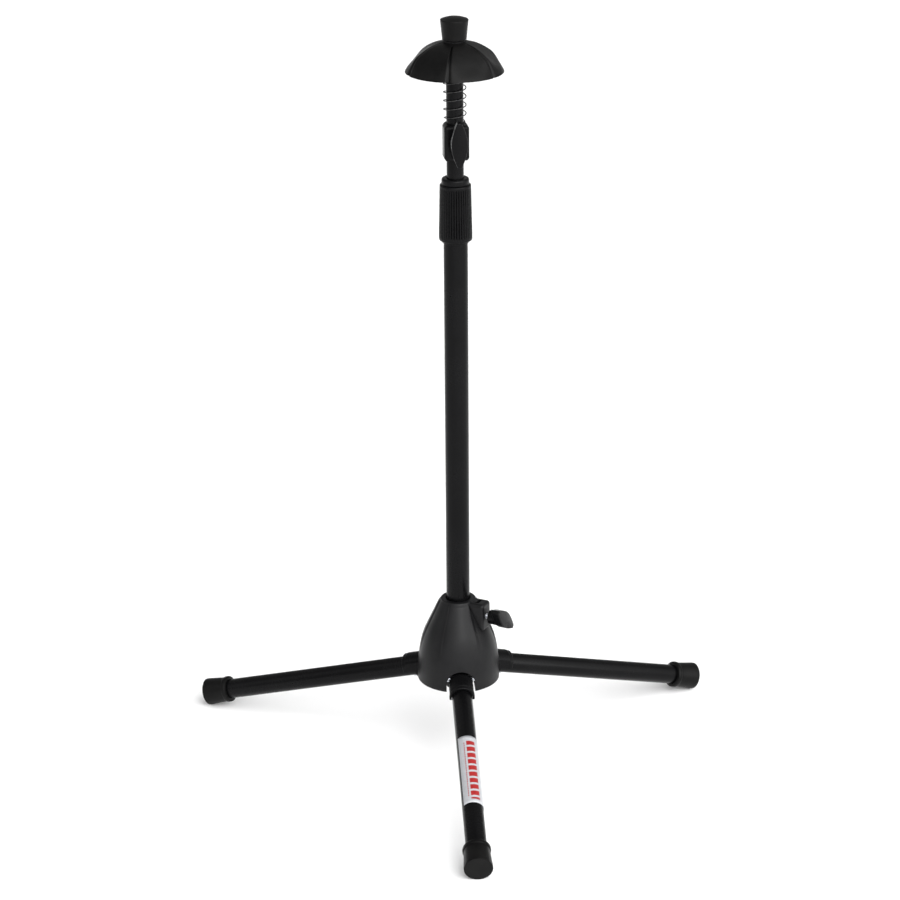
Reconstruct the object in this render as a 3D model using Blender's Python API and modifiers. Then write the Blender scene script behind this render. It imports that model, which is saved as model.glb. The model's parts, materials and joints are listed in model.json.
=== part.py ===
"""Folding three-legged stand that holds a brass instrument by its bell.

Three tube legs hinge in a moulded hub and fold down beside each other. A pole slides in
the hub, a thinner mast slides in the pole, and a sprung six-lobed cushion near the top
of the mast carries the bell. Metres, +Z up, front leg towards -Y, standing on z = 0.
"""

from math import asin, atan2, cos, exp, pi, radians, sin, tan

import bmesh
import bpy
from mathutils import Matrix

# ---- Driving sizes ------------------------------------------------------------------

GAP = 0.0003             # clearance between pieces that touch
MERGE = 0.00001          # distance under which a turned or flat mesh closes its seams

LEG_SPREAD = radians(115.25)  # front leg to each side leg, seen from above
SPREAD_R = 0.2667        # stand axis to the middle of a leg cap's end face
LEG_SLOPE = radians(16.6)
LEG_R = 0.0095
LEG_WALL = 0.0011
FOOT_FLAT = 0.0006       # rubber missing where a cap stands flat on the floor

CAP_FLARE = 0.00385      # cap's end disc, beyond the tube
CAP_WALL = 0.0021
CAP_BEAD = 0.0024
CAP_LENGTH = 0.025
CAP_BASE = 0.0042        # solid rubber beyond the end of the tube

PIVOT_R = 0.027          # stand axis to a leg's hinge pin
PIN_R = 0.0025
TONGUE_INSET = 0.0010    # knuckle around the hinge pin, less than the tube
TONGUE_WIDTH = 0.014
SOCKET_BACK = 0.0032     # socket's back, above the tube
SOCKET_CHEEK = 0.0018    # socket's sides, beyond the tube
SOCKET_START = 0.006     # hinge pin to the socket's shoulder, along the leg
SOCKET_SEAT = 0.014      # hinge pin to the bottom of the socket's bore
SOCKET_END = 0.0270       # hinge pin to the socket's open end
SOCKET_LIP = 0.0036      # length of the full round lip at the socket's end
SOCKET_LIP_WALL = 0.00275
SOCKET_DEPTH = 0.0020    # how far its walls reach below the tube's axis
RIVET_PLACE = 0.0205
RIVET_HEAD_R = 0.0022
RIVET_HEAD = 0.0010
RIVET_SHANK_R = 0.0015
RIVET_BITE = 0.0018      # how deep its tip goes into the socket's back

LABEL_START = 0.089
LABEL_LENGTH = 0.087
LABEL_THICK = 0.0002
LABEL_REACH = radians(82)    # half of the angle that the label covers
LABEL_TURN = radians(-28)

HUB_R = 0.0387
HUB_HEIGHT = 0.0818
HUB_FLARE_R = 0.1035     # curve of the hub's side, as seen from the side
HUB_SKIRT = 0.0102       # upright part of the side, at the bottom
HUB_SLOPE = radians(25)  # lean of the upper side
HUB_WALL = 0.0026
HUB_DROP = 0.0093        # hub's lower edge, below the hinge pins
GUIDE_WALL = 0.0028      # sleeve inside the hub that guides the pole
GUIDE_DROP = 0.0047      # length of the sleeve below the hub's lower edge
SLOT_CLEAR = 0.00125     # room in a leg slot, at each side of the socket's lip
SLOT_BEHIND = 0.0005     # back of a leg slot, beyond the sleeve
CLAMP_TURN = radians(60)
CLAMP_BELOW_TOP = 0.0138
HUB_BOSS_REACH = 0.0300
HUB_BOSS_WIDTH = 0.017
HUB_KNOB_STANDOFF = 0.0033
HUB_KNOB_TWIST = radians(-40)

POLE_R = 0.011
POLE_WALL = 0.0012
POLE_LENGTH = 0.460
POLE_STOP = 0.0022       # reach of the stop flange beyond the pole
POLE_STOP_THICK = 0.0030
POLE_PLUG_DEPTH = 0.008

GRIP_TOP_WALL = 0.0032   # grip's outer side beyond the pole's
GRIP_FOOT_WALL = 0.0041
GRIP_LENGTH = 0.0520
GRIP_RIDGES = 24
GRIP_RIDGE_DEPTH = 0.0004
CLUTCH_OVERLAP = 0.0237  # clutch base over the top of the pole
CLUTCH_BASE_WALL = 0.0008
CLUTCH_THREAD_WALL = 0.0015
CLUTCH_THREAD_LENGTH = 0.0390
CLUTCH_RING = 0.0020     # part of the base that shows under the grip
COLLET_WALL = 0.0022     # beyond the mast
COLLET_LIP_WALL = 0.0015 # beyond the pole
COLLET_LIP_HEIGHT = 0.0055

MAST_R = 0.0077
MAST_WALL = 0.0011
MAST_ABOVE_POLE = 0.1757
MAST_RAISED = 0.0257     # foot of the mast above the foot of the pole
MAST_FOOT_HEIGHT = 0.0055
MAST_PLUG_DEPTH = 0.014

TOP_PLUG_WALL = 0.0032
TOP_PLUG_FLARE = 0.0049
TOP_PLUG_DEPTH = 0.0137  # mast inside the plug
TOP_PLUG_HEAD = 0.0047   # rubber above the mast
TOP_PLUG_CROWN = 0.0024

CUSHION_R = 0.0440
CUSHION_HEIGHT = 0.0275
CUSHION_WALL = 0.0030
CUSHION_LOBES = 6
CUSHION_TURN = radians(-11)
LOBE_GROOVE = 0.0019
LOBE_GROOVE_ANGLE = radians(9)
CORE_WALL = 0.0020
CORE_FLANGE_WALL = 0.0083
CORE_FLANGE = 0.0027
CORE_SPIGOT_WALL = 0.0013
CORE_SPIGOT = 0.0085
CORE_SEAT_DROP = 0.0108  # cushion's crown to the spring's upper seat

SPRING_LENGTH = 0.0634
SPRING_WIRE_R = 0.0005
SPRING_CLEAR = 0.0023    # middle of the wire, beyond the mast
SPRING_FOOT_CLEAR = 0.0012
SPRING_TURNS = 8

COLLAR_WALL = 0.0036
COLLAR_HEIGHT = 0.032
COLLAR_FRONT = 0.0061    # collar's square front, beyond the mast
COLLAR_TURN = radians(4)
COLLAR_CHAMFER = 0.0018
COLLAR_CORNER = 0.0025
COLLAR_CLAMP_DROP = 0.0129
COLLAR_KNOB_STANDOFF = 0.0020
COLLAR_KNOB_TWIST = radians(90)

SCREW_R = 0.0025
SCREW_IN_KNOB = 0.010
NUT_WIDTH = 0.008
NUT_THICK = 0.0026
HUB_NUT_BEHIND = 0.0095  # inner face of the nut, beyond the pole
COLLAR_NUT_BEHIND = 0.0019

KNOB_SPAN = 0.041
KNOB_WIDTH = 0.0155
KNOB_TIP = 0.0045
KNOB_BASE_R = 0.0068
KNOB_BASE = 0.0090
KNOB_DEPTH = 0.018
KNOB_EDGE = 0.0010

# ---- Sizes worked out from the tubes that the pieces fit ----------------------------

CAP_END_R = LEG_R + CAP_FLARE
CAP_WAIST_R = LEG_R + CAP_WALL
CAP_MOUTH_R = LEG_R + CAP_BEAD
TONGUE_R = LEG_R - TONGUE_INSET
SOCKET_R = LEG_R + SOCKET_BACK
SOCKET_HALF_WIDTH = LEG_R + SOCKET_CHEEK
SOCKET_LIP_R = LEG_R + SOCKET_LIP_WALL
SLOT_WIDTH = 2 * (SOCKET_LIP_R + SLOT_CLEAR)

POLE_BORE = POLE_R - POLE_WALL
POLE_STOP_R = POLE_R + POLE_STOP
GUIDE_R = POLE_R + GUIDE_WALL
SLOT_BACK = GUIDE_R + SLOT_BEHIND
HUB_NUT_PLACE = POLE_R + HUB_NUT_BEHIND
GRIP_TOP_R = POLE_R + GRIP_TOP_WALL
GRIP_FOOT_R = POLE_R + GRIP_FOOT_WALL
CLUTCH_THREAD_R = POLE_R + CLUTCH_THREAD_WALL
COLLET_LIP_R = POLE_R + COLLET_LIP_WALL

COLLET_R = MAST_R + COLLET_WALL
MAST_FOOT_R = POLE_BORE - GAP
TOP_PLUG_FOOT_R = MAST_R + TOP_PLUG_WALL
TOP_PLUG_HEAD_R = MAST_R + TOP_PLUG_FLARE
CORE_R = MAST_R + CORE_WALL
CORE_FLANGE_R = MAST_R + CORE_FLANGE_WALL
CORE_SPIGOT_R = MAST_R + CORE_SPIGOT_WALL
SPRING_R = MAST_R + SPRING_CLEAR
SPRING_FOOT_R = MAST_R + SPRING_FOOT_CLEAR
COLLAR_R = MAST_R + COLLAR_WALL
COLLAR_REACH = MAST_R + COLLAR_FRONT
COLLAR_NUT_PLACE = MAST_R + COLLAR_NUT_BEHIND

# ---- Places worked out from the driving sizes --------------------------------------

# A leg runs straight from its hinge pin to its cap, whose lower edge is on the floor.
LEG_REACH = (SPREAD_R - PIVOT_R) / cos(LEG_SLOPE)
PIVOT_Z = CAP_END_R * cos(LEG_SLOPE) - FOOT_FLAT + (SPREAD_R - PIVOT_R) * tan(LEG_SLOPE)
LEG_AZIMUTHS = [0, LEG_SPREAD, -LEG_SPREAD]

# The stand's axis stands back from the middle of its footprint.
FRONT_REACH = SPREAD_R + CAP_END_R * sin(LEG_SLOPE)
REAR_CAP = (1 - (cos(LEG_SPREAD) * cos(LEG_SLOPE)) ** 2) ** 0.5
REAR_REACH = CAP_END_R * REAR_CAP - SPREAD_R * cos(LEG_SPREAD)
AXIS_Y = (FRONT_REACH - REAR_REACH) / 2

HUB_BOTTOM = PIVOT_Z - HUB_DROP
HUB_TOP = HUB_BOTTOM + HUB_HEIGHT
HUB_SHOULDER = HUB_BOTTOM + HUB_SKIRT
GUIDE_BOTTOM = HUB_BOTTOM - GUIDE_DROP
SLOT_ROOF = PIVOT_Z + SOCKET_R / cos(LEG_SLOPE) - SOCKET_START * sin(LEG_SLOPE) + GAP
SLOT_ARCH_Z = SLOT_ROOF - SLOT_WIDTH / 2
HUB_CLAMP_Z = HUB_TOP - CLAMP_BELOW_TOP

POLE_BOTTOM = GUIDE_BOTTOM - GAP
POLE_TOP = POLE_BOTTOM + POLE_LENGTH

CLUTCH_BOTTOM = POLE_TOP - CLUTCH_OVERLAP
GRIP_BOTTOM = CLUTCH_BOTTOM + CLUTCH_RING + GAP
GRIP_TOP = GRIP_BOTTOM + GRIP_LENGTH
CLUTCH_THREAD_TOP = CLUTCH_BOTTOM + CLUTCH_THREAD_LENGTH
COLLET_BOTTOM = CLUTCH_THREAD_TOP + GAP
COLLET_TOP = GRIP_TOP + GAP + COLLET_LIP_HEIGHT

MAST_TOP = POLE_TOP + MAST_ABOVE_POLE
MAST_BOTTOM = POLE_BOTTOM + MAST_RAISED

PLUG_BOTTOM = MAST_TOP - TOP_PLUG_DEPTH
CROWN_Z = PLUG_BOTTOM - GAP
CUSHION_BORE = CORE_R + GAP
CUSHION_BOTTOM = CROWN_Z - CUSHION_HEIGHT
DOME_R = (CUSHION_R ** 2 + CUSHION_HEIGHT ** 2) / (2 * CUSHION_HEIGHT)
SPRING_TOP = CROWN_Z - CORE_SEAT_DROP - GAP
SPRING_BOTTOM = SPRING_TOP - SPRING_LENGTH
COLLAR_TOP = SPRING_BOTTOM - GAP
COLLAR_BOTTOM = COLLAR_TOP - COLLAR_HEIGHT
COLLAR_CLAMP_Z = COLLAR_TOP - COLLAR_CLAMP_DROP


# ---- Scene and modelling helpers ----------------------------------------------------

def clear_scene():
    for obj in list(bpy.data.objects):
        bpy.data.objects.remove(obj, do_unlink=True)


def new_collection(name):
    collection = bpy.data.collections.new(name)
    bpy.context.scene.collection.children.link(collection)
    return collection


def new_material(name, colour, roughness, metallic=0.0):
    material = bpy.data.materials.new(name)
    material.use_nodes = True
    shader = material.node_tree.nodes["Principled BSDF"]
    shader.inputs["Base Color"].default_value = (*colour, 1.0)
    shader.inputs["Roughness"].default_value = roughness
    shader.inputs["Metallic"].default_value = metallic
    return material


def add_empty(name, parent=None, at=(0, 0, 0), turn=(0, 0, 0)):
    empty = bpy.data.objects.new(name, None)
    PARTS.objects.link(empty)
    empty.parent = parent
    empty.location = at
    empty.rotation_euler = turn
    return empty


def place(name, mesh, material, parent, at=(0, 0, 0), turn=(0, 0, 0)):
    """Make an object of a mesh: a part if it has a material, and otherwise a cutter."""
    obj = bpy.data.objects.new(name, mesh)
    obj.parent = parent
    obj.location = at
    obj.rotation_euler = turn
    if material:
        mesh.materials.append(material)
        PARTS.objects.link(obj)
    else:
        obj.hide_render = True
        obj.display_type = "WIRE"
        CUTTERS.objects.link(obj)
    return obj


def box(name, low, high, material, parent, at=(0, 0, 0), turn=(0, 0, 0)):
    size = [b - a for a, b in zip(low, high)]
    middle = [(a + b) / 2 for a, b in zip(low, high)]
    mesh = bpy.data.meshes.new(name)
    bm = bmesh.new()
    bmesh.ops.create_cube(bm, size=1.0, matrix=Matrix.Translation(middle) @ Matrix.Diagonal((*size, 1.0)))
    bm.to_mesh(mesh)
    bm.free()
    return place(name, mesh, material, parent, at, turn)


def rod(name, radius, low, high, material, parent, at=(0, 0, 0), turn=(0, 0, 0), sides=24):
    """Solid cylinder along its own Z."""
    mesh = bpy.data.meshes.new(name)
    bm = bmesh.new()
    middle = Matrix.Translation((0, 0, (low + high) / 2))
    bmesh.ops.create_cone(
        bm, cap_ends=True, segments=sides, radius1=radius, radius2=radius,
        depth=high - low, matrix=middle)
    bm.to_mesh(mesh)
    bm.free()
    return place(name, mesh, material, parent, at, turn)


def turned(name, profile, material, parent, at=(0, 0, 0), turn=(0, 0, 0), steps=24):
    """Turn a half section of (radius, height) pairs that runs down its outer side."""
    count = len(profile)
    edges = [(index, index + 1) for index in range(count - 1)]
    if profile[0][0] > 0:
        edges.append((count - 1, 0))
    mesh = bpy.data.meshes.new(name)
    mesh.from_pydata([(radius, 0, height) for radius, height in profile], edges, [])
    obj = place(name, mesh, material, parent, at, turn)
    screw = obj.modifiers.new("Turn", "SCREW")
    screw.axis = "Z"
    screw.steps = steps
    screw.render_steps = steps
    screw.use_merge_vertices = True
    screw.merge_threshold = MERGE
    screw.use_smooth_shade = False
    return obj


def evaluated_mesh(obj):
    """Mesh of an object with its modifiers or its curve worked out, seams welded."""
    graph = bpy.context.evaluated_depsgraph_get()
    mesh = bpy.data.meshes.new_from_object(obj.evaluated_get(graph))
    bm = bmesh.new()
    bm.from_mesh(mesh)
    bmesh.ops.remove_doubles(bm, verts=bm.verts, dist=MERGE)
    bm.to_mesh(mesh)
    bm.free()
    return mesh


def prism(name, outline, low, high, material, parent, at=(0, 0, 0), turn=(0, 0, 0)):
    """Flat outline of (x, y) pairs, thick from low to high along its own Z."""
    curve = bpy.data.curves.new(name, "CURVE")
    curve.dimensions = "2D"
    curve.fill_mode = "BOTH"
    curve.extrude = (high - low) / 2
    spline = curve.splines.new("POLY")
    spline.points.add(len(outline) - 1)
    for point, (x, y) in zip(spline.points, outline):
        point.co = (x, y, 0, 1)
    spline.use_cyclic_u = True
    guide = bpy.data.objects.new(name + "_guide", curve)
    CUTTERS.objects.link(guide)
    bpy.context.view_layer.update()
    mesh = evaluated_mesh(guide)
    mesh.transform(Matrix.Translation((0, 0, (low + high) / 2)))
    bpy.data.objects.remove(guide)
    return place(name, mesh, material, parent, at, turn)


def arc(centre_x, centre_y, radius, start, end, count):
    """Points along an arc from one angle to another."""
    angles = [start + (end - start) * index / (count - 1) for index in range(count)]
    return [(centre_x + radius * cos(a), centre_y + radius * sin(a)) for a in angles]


def combine(target, other, operation):
    modifier = target.modifiers.new(other.name, "BOOLEAN")
    modifier.operation = operation
    modifier.solver = "EXACT"
    modifier.object = other


def cut(target, *cutters):
    for cutter in cutters:
        combine(target, cutter, "DIFFERENCE")


def fuse(target, *others):
    for other in others:
        combine(target, other, "UNION")


def soften(obj, width, segments=2):
    bevel = obj.modifiers.new("Edges", "BEVEL")
    bevel.width = width
    bevel.segments = segments
    bevel.limit_method = "ANGLE"
    bevel.angle_limit = radians(40)


def outward(azimuth):
    """Turn that points an object's own Z outward and its own Y up."""
    return (radians(90), 0, azimuth)


def around(azimuth, radius, height):
    """Place at a distance from the stand's axis, the front being azimuth 0."""
    return (radius * sin(azimuth), -radius * cos(azimuth), height)


# ---- Hub ----------------------------------------------------------------------------

def hub_side(inset):
    """Half section of the hub's side from where it starts to lean, down to the skirt."""
    centre = HUB_R - HUB_FLARE_R
    return arc(centre, HUB_SHOULDER, HUB_FLARE_R - inset, HUB_SLOPE, 0, 8)


def hub_hollow(stand):
    """Room under the hub, less the solid blocks that the three leg slots are cut in."""
    side = hub_side(HUB_WALL)
    below = GUIDE_BOTTOM - GUIDE_DROP
    inner = GUIDE_R + GAP
    roof = side[0][1]
    profile = side + [(side[-1][0], below), (inner, below), (inner, roof)]
    hollow = turned("hub_hollow", profile, None, stand, steps=48)
    half = SLOT_WIDTH / 2 + HUB_WALL
    for index, azimuth in enumerate(LEG_AZIMUTHS):
        low = (-half, -HUB_R * 1.2, below - HUB_WALL)
        high = (half, 0, SLOT_ROOF + HUB_WALL)
        block = box(f"slot_block_{index + 1}", low, high, None, stand, turn=(0, 0, azimuth))
        cut(hollow, block)
    return hollow


def slot_outline():
    """Arched opening of a leg slot, from below the hub to its round roof."""
    half = SLOT_WIDTH / 2
    floor = GUIDE_BOTTOM - GUIDE_DROP
    return [(half, floor)] + arc(0, SLOT_ARCH_Z, half, 0, pi, 13) + [(-half, floor)]


def nut_pocket(name, place_r, drop, rise, parent, at, turn):
    """Slot that a square nut drops into, open at the end that drop or rise reaches."""
    half = NUT_WIDTH / 2 + GAP
    low = (-half, -max(half, drop), place_r - GAP)
    high = (half, max(half, rise), place_r + NUT_THICK + GAP)
    return box(name, low, high, None, parent, at, turn)


def build_hub(stand):
    side = hub_side(0)
    top_r = side[0][0] - (HUB_TOP - side[0][1]) * tan(HUB_SLOPE)
    edge = HUB_WALL / 2
    bore = POLE_R + GAP
    profile = [(bore, HUB_TOP), (top_r - edge, HUB_TOP), (top_r + edge * tan(HUB_SLOPE), HUB_TOP - edge)]
    profile += side + [(HUB_R, HUB_BOTTOM), (GUIDE_R, HUB_BOTTOM)]
    profile += [(GUIDE_R, GUIDE_BOTTOM), (bore, GUIDE_BOTTOM)]
    shell = turned("hub_shell", profile, MOULDED, stand, steps=48)
    cut(shell, hub_hollow(stand))

    half = HUB_BOSS_WIDTH / 2
    clamp = dict(parent=stand, at=(0, 0, HUB_CLAMP_Z), turn=outward(CLAMP_TURN))
    boss_top = CLAMP_BELOW_TOP - GAP
    boss = box("hub_boss", (-half, -boss_top, GUIDE_R), (half, boss_top, HUB_BOSS_REACH), None, **clamp)
    soften(boss, HUB_BOSS_WIDTH / 8)
    fuse(shell, boss)

    for index, azimuth in enumerate(LEG_AZIMUTHS):
        slot = prism(
            f"leg_slot_{index + 1}", slot_outline(), SLOT_BACK, HUB_R * 1.2,
            None, stand, turn=outward(azimuth))
        cut(shell, slot)
        axle = dict(at=around(azimuth, PIVOT_R, PIVOT_Z), turn=(0, radians(90), azimuth))
        reach = SLOT_WIDTH / 2 + HUB_WALL + PIN_R / 2
        cut(shell, rod(f"pin_hole_{index + 1}", PIN_R + GAP, -reach, reach, None, stand, sides=16, **axle))
        rod(f"leg_pin_{index + 1}", PIN_R, -reach, reach, STEEL, stand, sides=16, **axle)

    cut(shell, rod("clamp_hole", SCREW_R + GAP, POLE_R / 2, HUB_BOSS_REACH * 1.2, None, sides=16, **clamp))
    cut(shell, nut_pocket("nut_room", HUB_NUT_PLACE, 0, HUB_HEIGHT / 2, **clamp))
    build_nut("hub_nut", HUB_NUT_PLACE, **clamp)
    return shell


def build_nut(name, place_r, parent, at, turn):
    half = NUT_WIDTH / 2
    nut = box(name, (-half, -half, place_r), (half, half, place_r + NUT_THICK), STEEL, parent, at, turn)
    hole = rod(name + "_hole", SCREW_R + GAP, place_r - GAP, place_r + NUT_THICK * 2, None, parent, at, turn, sides=16)
    cut(nut, hole)
    return nut


# ---- Clamp screws with their wing knobs ---------------------------------------------

def knob_outline():
    """Leaf outline of a wing knob: two shallow arcs, cut square at the tips."""
    half = KNOB_SPAN / 2
    rise = (KNOB_WIDTH - KNOB_TIP) / 2
    radius = (half ** 2 + rise ** 2) / (2 * rise)
    reach = asin(half / radius)
    upper = arc(0, KNOB_WIDTH / 2 - radius, radius, pi / 2 - reach, pi / 2 + reach, 9)
    return upper + [(-x, -y) for x, y in upper]


def build_knob(prefix, start, tip, twist, parent, at, turn):
    """Wing knob from start outward, and the screw in it, whose tip meets the tube."""
    axis = add_empty(prefix + "_clamp_axis", parent, at, turn)
    spot = (0, 0, start)
    knob = rod(prefix + "_knob", KNOB_BASE_R, 0, KNOB_BASE + KNOB_EDGE, MOULDED, axis, spot, (0, 0, twist))
    wing = prism(
        prefix + "_wing", knob_outline(), KNOB_BASE, KNOB_DEPTH, None, axis, spot, (0, 0, twist))
    soften(wing, KNOB_EDGE)
    fuse(knob, wing)
    screw_end = SCREW_IN_KNOB
    cut(knob, rod(prefix + "_screw_hole", SCREW_R + GAP, -KNOB_EDGE, screw_end + GAP, None, axis, spot, sides=16))
    rod(prefix + "_screw", SCREW_R, tip, start + screw_end, STEEL, axis, sides=16)
    return knob


# ---- Legs ---------------------------------------------------------------------------

def build_leg(index, azimuth, stand):
    """One leg, on an empty at its hinge pin whose own Z runs down along the tube."""
    number = index + 1
    spot = around(azimuth, PIVOT_R, PIVOT_Z)
    hinge = add_empty(f"leg_hinge_{number}", stand, spot, (radians(90) + LEG_SLOPE, 0, azimuth))
    sideways = (0, radians(90), 0)

    socket = build_socket(number, hinge, sideways)

    tube_end = LEG_REACH - CAP_BASE - GAP
    inner = LEG_R - LEG_WALL
    start = SOCKET_SEAT + GAP
    tube = turned(
        f"leg_tube_{number}",
        [(inner, tube_end), (LEG_R, tube_end), (LEG_R, start), (inner, start)],
        POWDER, hinge)

    rivet_at = (0, 0, RIVET_PLACE)
    downward = (radians(90), 0, 0)
    tip = -(LEG_R + RIVET_BITE)
    hole = rod(
        f"rivet_hole_{number}", RIVET_SHANK_R + GAP, tip - GAP, SOCKET_R,
        None, hinge, rivet_at, downward, sides=12)
    cut(socket, hole)
    cut(tube, hole)
    head = LEG_R + GAP
    crown = head + RIVET_HEAD
    turned(
        f"leg_rivet_{number}",
        [(0, crown), (RIVET_HEAD_R * 0.6, crown), (RIVET_HEAD_R, head + RIVET_HEAD / 3),
         (RIVET_HEAD_R, head), (RIVET_SHANK_R, head), (RIVET_SHANK_R, tip), (0, tip)],
        STEEL, hinge, rivet_at, downward, steps=12)

    build_cap(number, hinge)
    return hinge


def build_socket(number, hinge, sideways):
    """Saddle over the top and sides of the tube, with a round lip and a hinge knuckle."""
    bore = LEG_R + GAP
    edge = GAP * 2
    lip_start = SOCKET_END - SOCKET_LIP
    shell = turned(
        f"leg_socket_{number}",
        [(0, SOCKET_SEAT), (bore, SOCKET_SEAT), (bore, SOCKET_END), (SOCKET_LIP_R - edge, SOCKET_END),
         (SOCKET_LIP_R, SOCKET_END - edge), (SOCKET_R, lip_start), (SOCKET_R, SOCKET_START), (0, SOCKET_START)],
        MOULDED, hinge)
    far = 2 * SOCKET_R
    for side in (-1, 1):
        near, away = sorted((side * SOCKET_HALF_WIDTH, side * far))
        cheek = box(
            f"cheek_{number}_{side}", (near, -far, 0), (away, far, lip_start), None, hinge)
        cut(shell, cheek)
    half = TONGUE_WIDTH / 2
    knuckle = rod(f"knuckle_{number}", TONGUE_R, -half, half, None, hinge, turn=sideways)
    deep = TONGUE_R - LEG_WALL
    neck = box(
        f"neck_{number}", (-half, -deep, 0), (half, deep, SOCKET_START + LEG_WALL), None, hinge)
    fuse(shell, knuckle, neck)
    under = box(f"under_{number}", (-far, -far, 0), (far, -LEG_R, 2 * SOCKET_END), None, hinge)
    open_side = box(
        f"open_side_{number}", (-far, -far, SOCKET_SEAT + GAP), (far, -SOCKET_DEPTH, 2 * SOCKET_END),
        None, hinge)
    pin_hole = rod(
        f"knuckle_hole_{number}", PIN_R + GAP, -2 * half, 2 * half, None, hinge, turn=sideways, sides=16)
    cut(shell, under, open_side, pin_hole)
    return shell


def build_cap(number, hinge):
    """Flared rubber cap, flattened where it stands on the floor."""
    end = LEG_REACH
    mouth = end - CAP_LENGTH
    bore = LEG_R + GAP
    edge = CAP_BASE / 4
    waist_length = CAP_LENGTH * 0.4
    flare = [
        (CAP_WAIST_R + (CAP_END_R - CAP_WAIST_R) * (1 - step / 4) ** 2, end - 2.2 * edge - waist_length * step / 4)
        for step in range(5)]
    profile = [(0, end), (CAP_END_R - edge, end), (CAP_END_R, end - edge)] + flare
    profile += [(CAP_WAIST_R, mouth + 3 * edge), (CAP_MOUTH_R, mouth + 2 * edge), (CAP_MOUTH_R, mouth)]
    profile += [(bore, mouth), (bore, end - CAP_BASE), (0, end - CAP_BASE)]
    cap = turned(f"leg_cap_{number}", profile, RUBBER, hinge, steps=32)
    far = 2 * SPREAD_R
    floor = box(f"floor_{number}", (-far, -far, -far), (far, far, 0), None, None)
    cut(cap, floor)
    return cap


def build_label(hinge):
    """Printed sticker round the upper side of the front leg's tube."""
    inner = LEG_R + GAP
    outer = inner + LABEL_THICK
    first = pi / 2 - LABEL_REACH
    last = pi / 2 + LABEL_REACH
    outline = arc(0, 0, outer, first, last, 21) + arc(0, 0, inner, last, first, 21)
    return prism(
        "leg_label", outline, LABEL_START, LABEL_START + LABEL_LENGTH,
        PRINTED, hinge, turn=(0, 0, LABEL_TURN))


# ---- Pole and its clutch ------------------------------------------------------------

def build_pole(stand):
    turned(
        "pole_tube",
        [(POLE_BORE, POLE_TOP), (POLE_R, POLE_TOP), (POLE_R, POLE_BOTTOM), (POLE_BORE, POLE_BOTTOM)],
        POWDER, stand, steps=32)
    spigot = POLE_BORE - GAP
    flange = POLE_BOTTOM - GAP
    foot = flange - POLE_STOP_THICK
    top = POLE_BOTTOM + POLE_PLUG_DEPTH
    turned(
        "pole_foot",
        [(0, top), (spigot, top), (spigot, flange), (POLE_STOP_R, flange), (POLE_STOP_R, foot + MERGE),
         (POLE_STOP_R - POLE_STOP_THICK / 2, foot), (0, foot)],
        MOULDED, stand, steps=32)


def build_clutch(stand):
    """Threaded base on the pole, split collet round the mast, and the ribbed grip."""
    bore = POLE_R + GAP
    neck = MAST_R + GAP
    ring = bore + CLUTCH_BASE_WALL
    step = POLE_TOP + GAP
    turned(
        "clutch_base",
        [(neck, CLUTCH_THREAD_TOP), (CLUTCH_THREAD_R, CLUTCH_THREAD_TOP), (CLUTCH_THREAD_R, GRIP_BOTTOM + GAP),
         (ring, GRIP_BOTTOM + GAP), (ring, CLUTCH_BOTTOM), (bore, CLUTCH_BOTTOM), (bore, step), (neck, step)],
        MOULDED, stand, steps=32)

    lip = GRIP_TOP + GAP
    edge = COLLET_LIP_HEIGHT / 3
    turned(
        "clutch_collet",
        [(neck, COLLET_TOP), (COLLET_LIP_R - 2 * edge, COLLET_TOP), (COLLET_LIP_R, COLLET_TOP - edge),
         (COLLET_LIP_R, lip), (COLLET_R, lip), (COLLET_R, COLLET_BOTTOM), (neck, COLLET_BOTTOM)],
        MOULDED, stand, steps=32)

    inner = CLUTCH_THREAD_R + GAP
    shelf = CLUTCH_THREAD_TOP + GAP
    throat = COLLET_R + GAP
    edge = GRIP_FOOT_R / 10
    grip = turned(
        "clutch_grip",
        [(throat, GRIP_TOP), (GRIP_TOP_R - edge, GRIP_TOP), (GRIP_TOP_R, GRIP_TOP - edge),
         (GRIP_FOOT_R, GRIP_BOTTOM + 3 * edge), (GRIP_FOOT_R - edge, GRIP_BOTTOM),
         (inner, GRIP_BOTTOM), (inner, shelf), (throat, shelf)],
        MOULDED, stand, steps=2 * GRIP_RIDGES)
    bake_turned(grip)
    for vertex in grip.data.vertices:
        radius, angle = polar(vertex)
        if radius > GRIP_TOP_R - GRIP_RIDGE_DEPTH and round(angle * GRIP_RIDGES / pi) % 2:
            scale_radius(vertex, (radius - GRIP_RIDGE_DEPTH) / radius)


def bake_turned(obj):
    """Replace a turned object's half section by the full mesh, so that it can be shaped."""
    bpy.context.view_layer.update()
    material = obj.data.materials[0]
    obj.data = evaluated_mesh(obj)
    obj.modifiers.clear()
    obj.data.materials.clear()
    obj.data.materials.append(material)


def polar(vertex):
    x, y, _ = vertex.co
    return (x * x + y * y) ** 0.5, atan2(y, x)


def scale_radius(vertex, factor):
    vertex.co.x *= factor
    vertex.co.y *= factor


# ---- Mast and what it carries -------------------------------------------------------

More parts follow.
